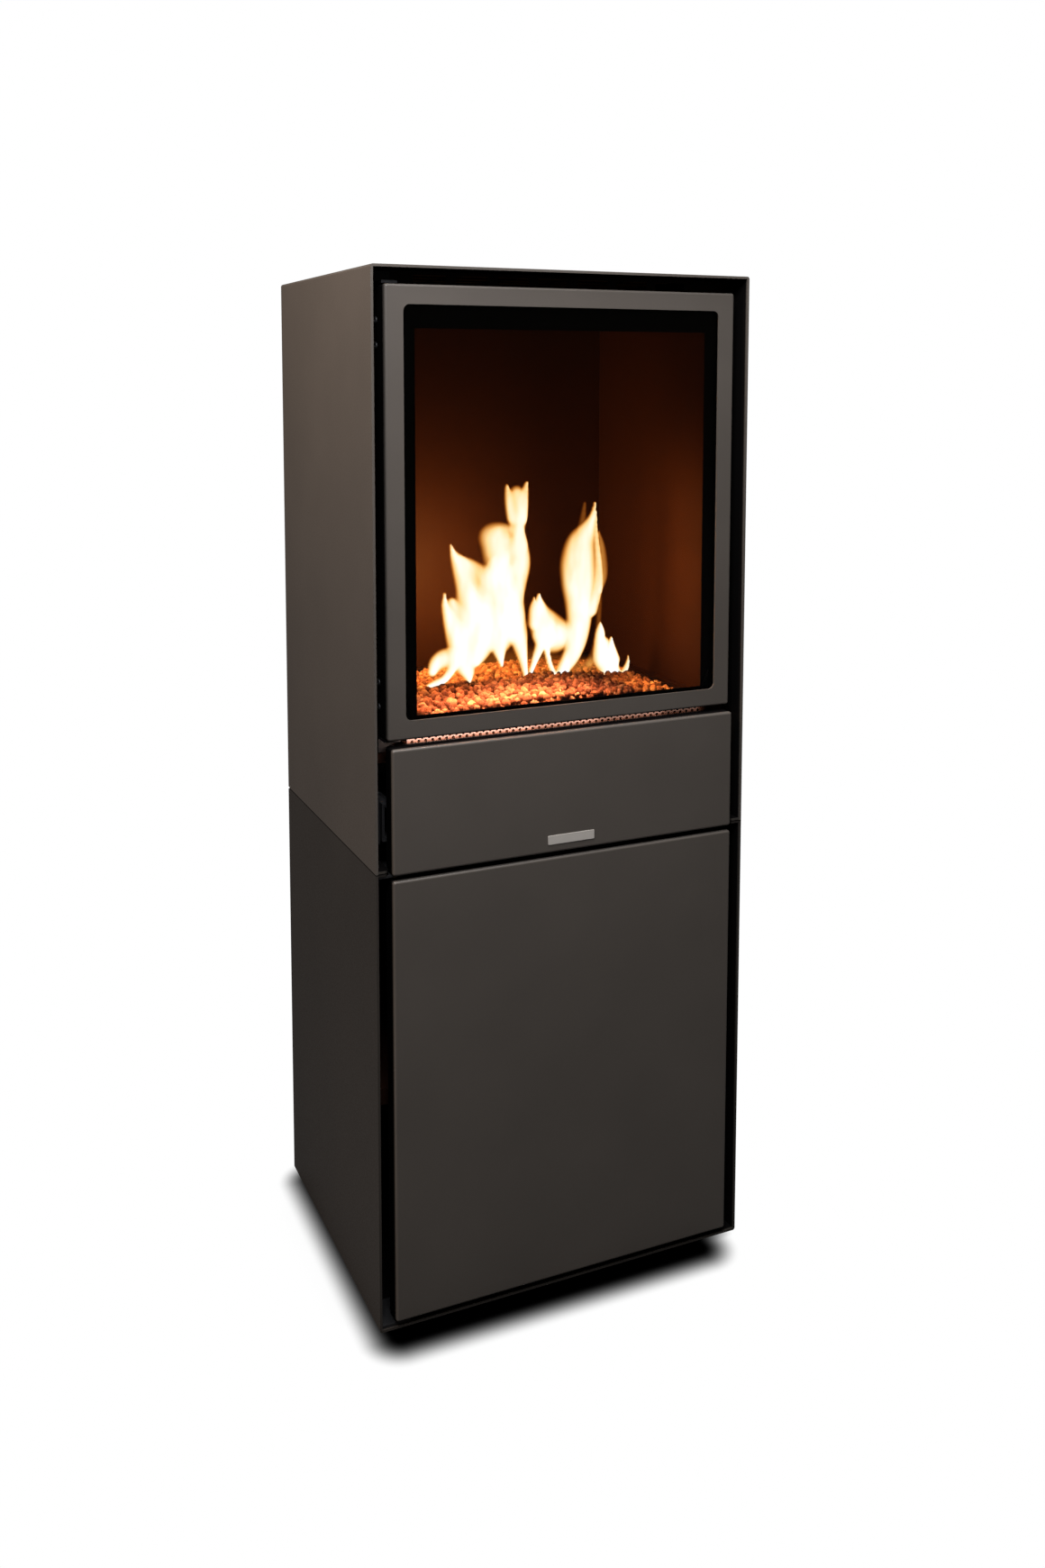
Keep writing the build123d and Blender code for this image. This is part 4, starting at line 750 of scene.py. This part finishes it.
class BuildWindowFrame(bpy.types.Operator):
    """Frame of the glazed door, folded from one sheet round its opening"""

    bl_idname = "fireplace.window_frame"
    bl_label = "Glazed door's frame"

    def execute(self, context):
        low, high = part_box("window_frame")
        back = low.y + sizes().window_return
        piece = folded_box("window_skin", low, Vector((high.x, back, high.z)))
        # the two sides are folded deeper than the head and the foot
        select_edges(
            piece,
            lambda a, b: min(a.y, b.y) > back - TINY and min(abs(a.x), abs(b.x)) > high.x - TINY,
        )
        extrude((0, high.y - back, 0))
        select_faces(piece, lambda f: f.normal.y < -0.999 and len(f.vertices) > 4)
        bpy.ops.mesh.delete(type="FACE")
        bpy.ops.object.mode_set(mode="OBJECT")
        self.join_outline(piece, low, high)
        # the sheet between the folded outline and the outline of the opening
        select_edges(piece, lambda a, b: max(a.y, b.y) < low.y + TINY)
        bpy.ops.mesh.fill(use_beauty=True)
        bpy.ops.mesh.select_all(action="SELECT")
        bpy.ops.mesh.normals_make_consistent(inside=False)
        bpy.ops.object.mode_set(mode="OBJECT")
        modify(piece, "SOLIDIFY", thickness=WINDOW_SHEET, offset=-1)
        smooth(piece)
        # painted shade: the coat turns near black from 4 mm behind the frame's face, where its
        # returns lie in the dark gaps
        coat = powder_coated_steel("powder_coated_steel_window_painted_gap_shade", low.y + 4 * MM)
        settle(piece, "window_frame", coat)
        return {"FINISHED"}

    def join_outline(self, piece, low, high):
        """Adds the rounded outline of the opening, as edges, in the plane of the frame's face."""
        edge = sizes().window_border
        outline = box_piece(
            "opening",
            (low.x + edge, low.y, low.z + edge),
            (high.x - edge, low.y + 1 * MM, high.z - edge),
        )
        select_edges(outline, lambda a, b: abs(a.y - b.y) > TINY)
        bpy.ops.mesh.bevel(offset=sizes().window_corner, segments=6)
        select_faces(outline, lambda f: f.normal.y > -0.5)
        bpy.ops.mesh.delete(type="FACE")
        bpy.ops.mesh.select_all(action="SELECT")
        bpy.ops.mesh.delete(type="ONLY_FACE")
        bpy.ops.object.mode_set(mode="OBJECT")
        join([piece, outline])


class BuildAirStrip(bpy.types.Operator):
    """Folded strip with two rows of round air holes, and the firelight on it"""

    bl_idname = "fireplace.air_strip"
    bl_label = "Air strip"

    def execute(self, context):
        low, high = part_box("air_strip")
        piece = box_piece("air_strip_sheet", low, high)
        select_faces(
            piece, lambda f: f.normal.z > 0.5 or abs(f.normal.x) > 0.5 or f.normal.y > 0.5
        )
        bpy.ops.mesh.delete(type="FACE")
        select_edges(piece, lambda a, b: min(a.y, b.y) > high.y - TINY)
        extrude((0, 0, STRIP_UPSTAND))
        select_edges(piece, lambda a, b: max(a.z, b.z) < low.z + TINY and abs(a.x - b.x) > TINY)
        bpy.ops.mesh.bevel(offset=STRIP_FOLD, segments=3)
        bpy.ops.object.mode_set(mode="OBJECT")
        modify(piece, "SOLIDIFY", thickness=STRIP_SHEET, offset=-1)
        drill = self.drill(low)
        modify(piece, "BOOLEAN", object=drill, operation="DIFFERENCE", solver="EXACT")
        bpy.data.objects.remove(drill)
        smooth(piece)
        settle(piece, "air_strip", bpy.data.materials["stove_painted_steel"])
        # firelight that falls through the gap and fades to the right: lamps that all start at
        # the left, each over its share of the strip, with its watts
        for share, power in ((0.4, 0.32), (0.62, 0.32), (0.85, 0.2), (0.98, 0.08)):
            length = share * (high.x - low.x)
            add_lamp(
                "strip_glow",
                "AREA",
                (low.x + length / 2, low.y - 6 * MM, low.z + 6.5 * MM),
                (pi / 2, 0, 0),
                "#FFDFCF",
                shape="RECTANGLE",
                size=length,
                size_y=4 * MM,
                energy=power,
                spread=radians(150),
            )
        return {"FINISHED"}

    def drill(self, low):
        """Rods where the holes go, two rows set half a pitch apart."""
        pitch = sizes().hole_pitch
        radius = sizes().hole_radius
        count = int((-2 * low.x - radius) / pitch)
        rows = []
        for row, rise in enumerate(HOLE_RISES):
            deselect()
            start = -(count - 1) * pitch / 2 + (row - 0.5) * pitch / 2
            bpy.ops.mesh.primitive_cylinder_add(
                vertices=14,
                radius=radius,
                depth=6 * MM,
                location=(start, low.y, low.z + rise),
                rotation=(pi / 2, 0, 0),
            )
            rod = bpy.context.object
            bpy.ops.object.transform_apply(location=True, rotation=True, scale=True)
            modify(
                rod,
                "ARRAY",
                count=count,
                use_relative_offset=False,
                use_constant_offset=True,
                constant_offset_displace=(pitch, 0, 0),
            )
            rows.append(rod)
        return join(rows)


class BuildVentBaffle(bpy.types.Operator):
    """Dark folded sheet inside the lower vents, standing in for shade: it keeps the white floor from
    showing through the vents in the dark gaps
    """

    bl_idname = "fireplace.vent_baffle"
    bl_label = "Vent baffle"

    def execute(self, context):
        low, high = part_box("lower_back_panel")
        foot, head = BAFFLE_REACH
        piece = box_piece(
            "vent_baffle",
            (low.x + BAFFLE_INSET, low.y - BAFFLE_DEPTH, low.z + foot),
            (high.x - BAFFLE_INSET, low.y, low.z + head),
        )
        select_faces(piece, lambda f: f.normal.y > 0.5 or abs(f.normal.z) > 0.5)
        bpy.ops.mesh.delete(type="FACE")
        front = low.y - BAFFLE_DEPTH
        select_edges(
            piece, lambda a, b: max(a.y, b.y) < front + 1 * MM and abs(a.z - b.z) > 1 * MM
        )
        bpy.ops.mesh.bevel(offset=BAFFLE_FOLD, segments=4)
        bpy.ops.object.mode_set(mode="OBJECT")
        modify(piece, "SOLIDIFY", thickness=BAFFLE_SHEET, offset=-1)
        smooth(piece)
        dull = bpy.data.materials["passivated_zinc_steel"]
        settle(piece, "lower_back_panel", dull, stands_for=False)
        return {"FINISHED"}


class BuildBlankPlate(bpy.types.Operator):
    """Small bare plate on the drawer's front"""

    bl_idname = "fireplace.blank_plate"
    bl_label = "Blank plate"

    def execute(self, context):
        low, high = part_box("name_plate")
        piece = box_piece("blank_plate", low, high)
        select_edges(piece, lambda a, b: abs(a.y - b.y) > TINY)
        bpy.ops.mesh.bevel(offset=sizes().plate_corner, segments=4)
        select_edges(piece, lambda a, b: max(a.y, b.y) < low.y + TINY)
        bpy.ops.mesh.bevel(offset=0.25 * MM, segments=2)
        bpy.ops.object.mode_set(mode="OBJECT")
        smooth(piece)
        settle(piece, "name_plate", satin_stainless_steel())
        return {"FINISHED"}


class BuildScrews(bpy.types.Operator):
    """Round screw heads with a hollow, in place of each coarse screw"""

    bl_idname = "fireplace.screws"
    bl_label = "Screws"

    def execute(self, context):
        zinc = bpy.data.materials["zinc_plated_steel"]
        dull = bpy.data.materials["passivated_zinc_steel"]
        # each node's screws are turned from +Z to the way that their heads face
        for node, turn, finish in (
            ("hinge_block_screws", Euler((0, -pi / 2, 0)), dull),
            ("back_panel_screws", Euler((-pi / 2, 0, 0)), zinc),
            ("retainer_screws", Euler((-pi / 2, 0, 0)), zinc),
        ):
            axis = Vector((0, 0, 1))
            axis.rotate(turn)
            screws = []
            for low, high in self.islands(nodes[node]):
                middle = (low + high) / 2
                half = (high - low) / 2
                reach = abs(half.dot(axis))
                radius = max(abs(half[i]) for i in range(3) if abs(axis[i]) < 0.5)
                screws.append(self.screw(radius, 2 * reach, middle + axis * reach, turn))
            piece = join(screws)
            piece.name = node + "_turned"
            smooth(piece, 30)
            settle(piece, node, finish)
        return {"FINISHED"}

    def islands(self, node):
        """Lowest and highest corner of each solid of a node."""
        copy = node.copy()
        copy.data = node.data.copy()
        bpy.context.scene.collection.objects.link(copy)
        copy.hide_set(False)
        only(copy)
        bpy.ops.object.mode_set(mode="EDIT")
        bpy.ops.mesh.select_all(action="SELECT")
        bpy.ops.mesh.remove_doubles(threshold=0.001 * MM)
        bpy.ops.mesh.separate(type="LOOSE")
        bpy.ops.object.mode_set(mode="OBJECT")
        boxes = []
        for part in list(bpy.context.selected_objects):
            along = list(zip(*(point.co for point in part.data.vertices)))
            boxes.append((Vector(map(min, along)), Vector(map(max, along))))
            bpy.data.objects.remove(part)
        return sorted(boxes, key=lambda box: tuple(box[0]))

    def screw(self, radius, length, tip, turn):
        """One screw with its head's face at tip and its shank behind."""
        head = 0.4 * radius
        deselect()
        bpy.ops.mesh.primitive_cylinder_add(
            vertices=24, radius=radius, depth=head, location=(0, 0, -head / 2)
        )
        piece = bpy.context.object
        bpy.ops.object.transform_apply(location=True, rotation=True, scale=True)
        select_faces(piece, lambda f: f.normal.z < -0.5)
        bpy.ops.mesh.inset(thickness=radius * 0.5)
        extrude((0, 0, head - length))
        select_edges(piece, lambda a, b: min(a.z, b.z) > -0.001 * MM)
        bpy.ops.mesh.bevel(offset=0.35 * head, segments=3)
        select_faces(piece, lambda f: f.normal.z > 0.99)
        bpy.ops.mesh.inset(thickness=radius * 0.35)
        extrude((0, 0, -0.6 * head))
        bpy.ops.object.mode_set(mode="OBJECT")
        piece.data.transform(Matrix.Translation(tip) @ turn.to_matrix().to_4x4())
        return piece


class BuildGlass(bpy.types.Operator):
    """Fire glass with ground edges"""

    bl_idname = "fireplace.glass"
    bl_label = "Glass"

    def execute(self, context):
        low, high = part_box("window_glass")
        piece = box_piece("fire_glass", low, high)
        select_edges(piece, lambda a, b: True)
        bpy.ops.mesh.bevel(offset=0.5 * MM, segments=2)
        bpy.ops.object.mode_set(mode="OBJECT")
        smooth(piece)
        settle(piece, "window_glass", bpy.data.materials["ceramic_glass_clear"])
        return {"FINISHED"}


# Sizes of the bed are in mean granule sizes
GRANULE_KINDS = 7
GRANULE_LAYERS = 2
GRANULE_STEP = 0.92
GRANULE_STRAY = 0.4  # of a step, each way
GRANULE_SCALES = (0.85, 1.3)
GRANULE_LIGHTS = (0.25, 0.5)  # share of a shade's light: the bed stands in the lamps' full glow
GRANULE_SHADES = (
    "#B0755A",
    "#BE8465",
    "#9C6348",
    "#CB987A",
    "#8A553F",
    "#B97A58",
    "#D6AA88",
    "#784834",
)


class BuildGranulate(bpy.types.Operator):
    """Loose bed of clay granules over the burner"""

    bl_idname = "fireplace.granulate"
    bl_label = "Granulate"

    def execute(self, context):
        low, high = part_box("granulate_bed")
        chooser = random.Random(11)
        size = sizes().granule
        kinds = [self.granule(index, chooser) for index in range(GRANULE_KINDS)]
        step = size * GRANULE_STEP
        columns = int((high.x - low.x - size) / step)
        rows = int((high.y - low.y - size) / step)
        copies = [
            self.lay(kinds, chooser, low, high, row, column, layer)
            for row in range(rows + 1)
            for column in range(columns + 1)
            for layer in range(GRANULE_LAYERS)
        ]
        piece = join(copies)
        piece.name = "granulate"
        smooth(piece, 75)
        settle(piece, "granulate_bed", bpy.data.materials["fired_clay_granulate"])
        for kind in kinds:
            bpy.data.objects.remove(kind)
        return {"FINISHED"}

    def lay(self, kinds, chooser, low, high, row, column, layer):
        """One granule, turned and shaded by chance, near its place in the bed."""
        size = sizes().granule
        step = size * GRANULE_STEP
        kind = chooser.choice(kinds)
        place = Vector(
            (
                low.x + size / 2 + (column + chooser.uniform(-GRANULE_STRAY, GRANULE_STRAY)) * step,
                low.y + size / 2 + (row + chooser.uniform(-GRANULE_STRAY, GRANULE_STRAY)) * step,
                0,
            )
        )
        place.x = min(max(place.x, low.x + size / 2), high.x - size / 2)
        place.y = min(max(place.y, low.y + size / 2), high.y - size / 2)
        # a granule lies half sunk, and the lower layer 0.6 of a granule further down
        sunk = 0.55 + 0.6 * (1 - layer) + 0.1 * chooser.random()
        place.z = self.surface(place, low, high) - size * sunk
        mesh = kind.data.copy()
        scale = size * chooser.uniform(*GRANULE_SCALES)
        turn = Euler([chooser.uniform(0, 2 * pi) for _ in range(3)]).to_matrix().to_4x4()
        mesh.transform(Matrix.Translation(place) @ turn @ Matrix.Scale(scale, 4))
        shade = chooser.choice(GRANULE_SHADES)
        colour = linear(shade, chooser.uniform(*GRANULE_LIGHTS))
        attribute = mesh.attributes.new("granule_colour", "FLOAT_COLOR", "POINT")
        attribute.data.foreach_set("color", colour * len(mesh.vertices))
        copy = bpy.data.objects.new("granule", mesh)
        bpy.context.scene.collection.objects.link(copy)
        return copy

    def surface(self, place, low, high):
        """Height of the heap's top: crowned over the burner, lower at the sides and rear."""
        across = 2 * (place.x - (low.x + high.x) / 2) / (high.x - low.x)
        back = max(0.0, 2 * (place.y - (low.y + high.y) / 2) / (high.y - low.y))
        return high.z - (high.z - low.z) * (0.3 * across**2 + 0.3 * back**2)

    def granule(self, index, chooser):
        """One broken granule of unit size: a coarse ball with its points pushed about."""
        deselect()
        bpy.ops.mesh.primitive_ico_sphere_add(subdivisions=2, radius=0.5)
        kind = bpy.context.object
        kind.name = f"granule_kind_{index}"
        squash = Vector((1.0, chooser.uniform(0.75, 0.95), chooser.uniform(0.65, 0.9)))
        for point in kind.data.vertices:
            pushed = Vector(a * b for a, b in zip(point.co, squash))
            point.co = pushed * chooser.uniform(0.93, 1.04)
        modify(kind, "DECIMATE", ratio=0.5)
        return kind


# Licks of flame: how hot each is, from 0 to 1, and places up its middle line, in
# millimetres, as (x, height over the bed, half width)
LICKS = (
    (1.0, [(-123, -7, 3), (-111, -5, 6), (-100, 0, 6), (-91, 13, 7), (-86, 26, 10)]),
    (0.85, [(-117, 12, 8), (-112, 22, 12), (-103, 27, 14), (-90, 28, 15)]),
    (1.0, [
        (-100, 113, 1), (-99, 98, 5), (-93, 79, 10), (-85, 60, 16), (-78, 41, 20),
        (-75, 22, 16), (-70, 6, 9), (-68, -6, 2),
    ]),
    (1.0, [
        (-91, 175, 1), (-87, 162, 6), (-78, 145, 14), (-70, 117, 17), (-60, 89, 26),
        (-52, 64, 30), (-53, 42, 20), (-61, 21, 9),
    ]),
    (0.7, [(-83, 156, 6), (-68, 148, 10), (-52, 134, 15), (-35, 115, 20)]),
    (0.55, [(-13, 191, 9), (-29, 192, 12), (-41, 186, 15), (-38, 170, 15), (-30, 149, 19)]),
    (0.8, [(-18, 176, 13), (-17, 154, 17), (-15, 135, 20)]),
    (1.0, [
        (-29, 148, 13), (-25, 117, 32), (-24, 86, 39), (-25, 59, 30), (-25, 37, 13),
        (-23, 12, 2),
    ]),
    (0.8, [(1, 227, 17), (2, 205, 16), (0, 187, 13), (2, 168, 16)]),
    (1.0, [
        (2, 190, 10), (4, 168, 15), (6, 143, 18), (-1, 119, 20), (-8, 95, 20), (-6, 70, 22),
        (4, 47, 15), (11, 18, 8), (16, -13, 3),
    ]),
    (0.8, [(-14, 248, 3), (-12, 237, 7), (-10, 221, 9), (-6, 206, 11)]),
    (0.8, [(16, 251, 3), (13, 236, 8), (10, 221, 11), (5, 205, 13)]),
    (0.9, [(17, -13, 3), (24, 1, 4), (31, 17, 6), (38, 35, 10), (45, 50, 22)]),
    (1.0, [(35, 103, 1), (35, 89, 9), (38, 73, 17), (46, 56, 26), (58, 46, 26)]),
    (0.8, [(28, 98, 1), (26, 83, 8), (28, 64, 12)]),
    (0.9, [(44, 35, 5), (48, 18, 4), (53, 2, 4), (61, -10, 5), (73, -4, 8)]),
    (1.0, [
        (112, 222, 1), (110, 204, 6), (104, 186, 13), (94, 167, 23), (90, 145, 28),
        (91, 120, 27), (93, 91, 23), (92, 63, 20), (87, 37, 16), (79, 16, 13), (69, -1, 9),
        (60, -11, 4),
    ]),
    (0.7, [(114, 210, 2), (117, 175, 4), (119, 144, 6), (118, 109, 8), (111, 74, 9)]),
    (0.22, [(98, 222, 3), (97, 205, 6), (95, 186, 8)]),
    (0.3, [(121, 182, 3), (126, 162, 8), (127, 140, 11), (127, 121, 9), (121, 102, 5)]),
    (0.16, [(122, 108, 5), (123, 76, 6), (121, 51, 6), (114, 26, 6), (106, 4, 8)]),
    (1.0, [
        (124, 57, 2), (124, 44, 9), (122, 25, 11), (127, 9, 16), (140, -5, 15), (152, -16, 8),
        (155, -22, 2),
    ]),
    (1.0, [(142, 36, 2), (142, 20, 9), (146, 4, 12)]),
    (0.8, [(171, 9, 1), (168, -3, 4), (162, -13, 6), (154, -18, 5)]),
    (0.75, [(1, 237, 13), (1, 224, 17), (1, 209, 18)]),
    (0.75, [(-90, 100, 7), (-83, 81, 14), (-78, 63, 18)]),
    (0.85, [(130, 29, 11), (132, 13, 15), (138, -4, 15)]),
    (0.75, [(-29, 181, 17), (-22, 163, 22)]),
    (0.14, [
        (-116, 4, 13), (-85, 17, 20), (-55, 18, 20), (-25, 21, 22), (5, 16, 22), (36, 13, 25),
        (71, 4, 21), (103, 1, 16),
    ]),
    (0.06, [
        (-101, -3, 16), (-52, -4, 20), (2, -12, 20), (57, -11, 21), (106, -6, 20),
        (142, -9, 18),
    ]),
)
FLAME_GRID = 2.0  # mm between the points of the flame's sheet
FLAME_STEP = 2.5  # mm, about, between the discs along a lick
FLAME_LIGHT = "#FFA752"


class BuildFlames(bpy.types.Operator):
    """One body of flame over the burner's mouth, and the light it throws"""

    bl_idname = "fireplace.flames"
    bl_label = "Flames"

    def execute(self, context):
        low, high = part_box("burner_tank")
        middle = (low.y + high.y) / 2
        bed_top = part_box("granulate_bed")[1].z
        places = [place for _, line in LICKS for place in line]
        left = min(x - half for x, _, half in places)
        right = max(x + half for x, _, half in places)
        foot = min(rise - half for _, rise, half in places)
        head = max(rise + half for _, rise, half in places)
        deselect()
        bpy.ops.mesh.primitive_grid_add(
            x_subdivisions=round((right - left) / FLAME_GRID),
            y_subdivisions=round((head - foot) / FLAME_GRID),
            size=1,
        )
        piece = context.object
        piece.name = "flames"
        piece.scale = ((right - left) * MM, (head - foot) * MM, 1)
        bpy.ops.object.transform_apply(location=True, rotation=True, scale=True)
        piece.data.transform(
            Matrix.Translation(
                ((left + right) / 2 * MM, middle, bed_top + (foot + head) / 2 * MM)
            )
            @ Matrix.Rotation(pi / 2, 4, "X")
        )
        self.warm(piece, middle, bed_top)
        piece.data.materials.append(burning_ethanol())
        bpy.ops.object.shade_smooth()
        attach(piece, "carcass")
        self.light(middle, bed_top)
        return {"FINISHED"}

    def warm(self, piece, middle, bed_top):
        """Warmth is 1 in the hottest licks and falls to 0 at their edges, where the sheet ends."""
        licks = [(heat, self.stroke(line)) for heat, line in LICKS]
        values = []
        for point in piece.data.vertices:
            x, rise = point.co.x / MM, (point.co.z - bed_top) / MM
            cold = 1.0
            for heat, discs in licks:
                hot = max(1 - ((x - a) ** 2 + (rise - b) ** 2) / c**2 for a, b, c in discs)
                cold *= 1 - heat * max(0.0, hot)
            # about a third of the warmth is gone 250 mm over the bed
            values.append((1 - cold) * (1 - 0.35 * (max(0.0, rise) / 250) ** 1.5))
            # the sheet waves and bulges to the front, so that it isn't flat from the side
            wave = 4 * sin(x / 22) + 2 * sin(rise / 17 + x / 30)
            point.co.y = middle + (wave - 7 * (1 - cold)) * MM
        attribute = piece.data.attributes.new("flame_warmth", "FLOAT", "POINT")
        attribute.data.foreach_set("value", values)
        select_faces(piece, lambda f: max(values[i] for i in f.vertices) <= 0)
        bpy.ops.mesh.delete(type="FACE")
        bpy.ops.object.mode_set(mode="OBJECT")

    def stroke(self, line):
        """Discs along a smooth curve through a lick's places."""
        discs = []
        ends = [line[0], *line, line[-1]]
        for before, start, end, after in zip(ends, ends[1:], ends[2:], ends[3:]):
            steps = max(2, round((Vector(end[:2]) - Vector(start[:2])).length / FLAME_STEP))
            for step in range(steps):
                discs.append(
                    tuple(
                        self.between(step / steps, *values)
                        for values in zip(before, start, end, after)
                    )
                )
        return [(x, rise, max(1.0, half)) for x, rise, half in discs]

    def between(self, t, before, start, end, after):
        """Catmull-Rom curve from start at t = 0 to end at t = 1."""
        slope = end - before
        bend = 2 * before - 5 * start + 4 * end - after
        twist = 3 * start - before - 3 * end + after
        return 0.5 * (2 * start + slope * t + bend * t**2 + twist * t**3)

    def light(self, middle, bed_top):
        """Warm lamps for the light that the flames throw on the walls and the bed."""
        # one before the rear wall, where the photograph's wall is brightest, one in the middle
        for x, forward, rise, power in ((-98, -38, 120, 10.5), (0, 0, 80, 1.2)):
            add_lamp(
                "fire_glow",
                "POINT",
                (x * MM, middle - forward * MM, bed_top + rise * MM),
                (0, 0, 0),
                FLAME_LIGHT,
                in_gloss=False,
                energy=power,
                shadow_soft_size=60 * MM,
            )
        add_lamp(
            "wall_glow",
            "AREA",
            (110 * MM, middle - 100 * MM, bed_top + 130 * MM),
            (0, -pi / 2, 0),
            FLAME_LIGHT,
            in_gloss=False,
            shape="RECTANGLE",
            size=240 * MM,
            size_y=60 * MM,
            energy=1.3,
        )
        add_lamp(
            "bed_glow",
            "AREA",
            (-65 * MM, middle - 115 * MM, bed_top + 90 * MM),
            (0, 0, 0),
            "#FFA670",
            in_gloss=False,
            shape="RECTANGLE",
            size=220 * MM,
            size_y=50 * MM,
            energy=1.6,
            spread=radians(95),
        )


OPERATORS = (
    BuildStage,
    PaintFrame,
    BuildFronts,
    BuildWindowFrame,
    BuildAirStrip,
    BuildVentBaffle,
    BuildBlankPlate,
    BuildScrews,
    BuildGlass,
    BuildGranulate,
    BuildFlames,
)


class FireplacePanel(bpy.types.Panel):
    """Lists the sizes, the colours and the steps in the sidebar of the 3D view"""

    bl_idname = "VIEW3D_PT_fireplace"
    bl_label = "Fireplace"
    bl_space_type = "VIEW_3D"
    bl_region_type = "UI"
    bl_category = "Fireplace"

    def draw(self, context):
        for group in (context.scene.fireplace_sizes, context.scene.fireplace_colours):
            for name in group.bl_rna.properties.keys():
                if name not in ("name", "rna_type"):
                    self.layout.prop(group, name)
        for made in OPERATORS:
            self.layout.operator(made.bl_idname)


CLASSES = (FireplaceSizes, FireplaceColours, *OPERATORS, FireplacePanel)


def register():
    for made in CLASSES:
        bpy.utils.register_class(made)
    bpy.types.Scene.fireplace_sizes = bpy.props.PointerProperty(type=FireplaceSizes)
    bpy.types.Scene.fireplace_colours = bpy.props.PointerProperty(type=FireplaceColours)


def unregister():
    del bpy.types.Scene.fireplace_colours
    del bpy.types.Scene.fireplace_sizes
    for made in reversed(CLASSES):
        bpy.utils.unregister_class(made)


def main():
    register()
    bpy.ops.fireplace.stage()
    bpy.ops.fireplace.paint_frame()
    bpy.ops.fireplace.fronts()
    bpy.ops.fireplace.window_frame()
    bpy.ops.fireplace.air_strip()
    bpy.ops.fireplace.vent_baffle()
    bpy.ops.fireplace.blank_plate()
    bpy.ops.fireplace.screws()
    bpy.ops.fireplace.glass()
    bpy.ops.fireplace.granulate()
    bpy.ops.fireplace.flames()


if __name__ == "__main__":
    main()
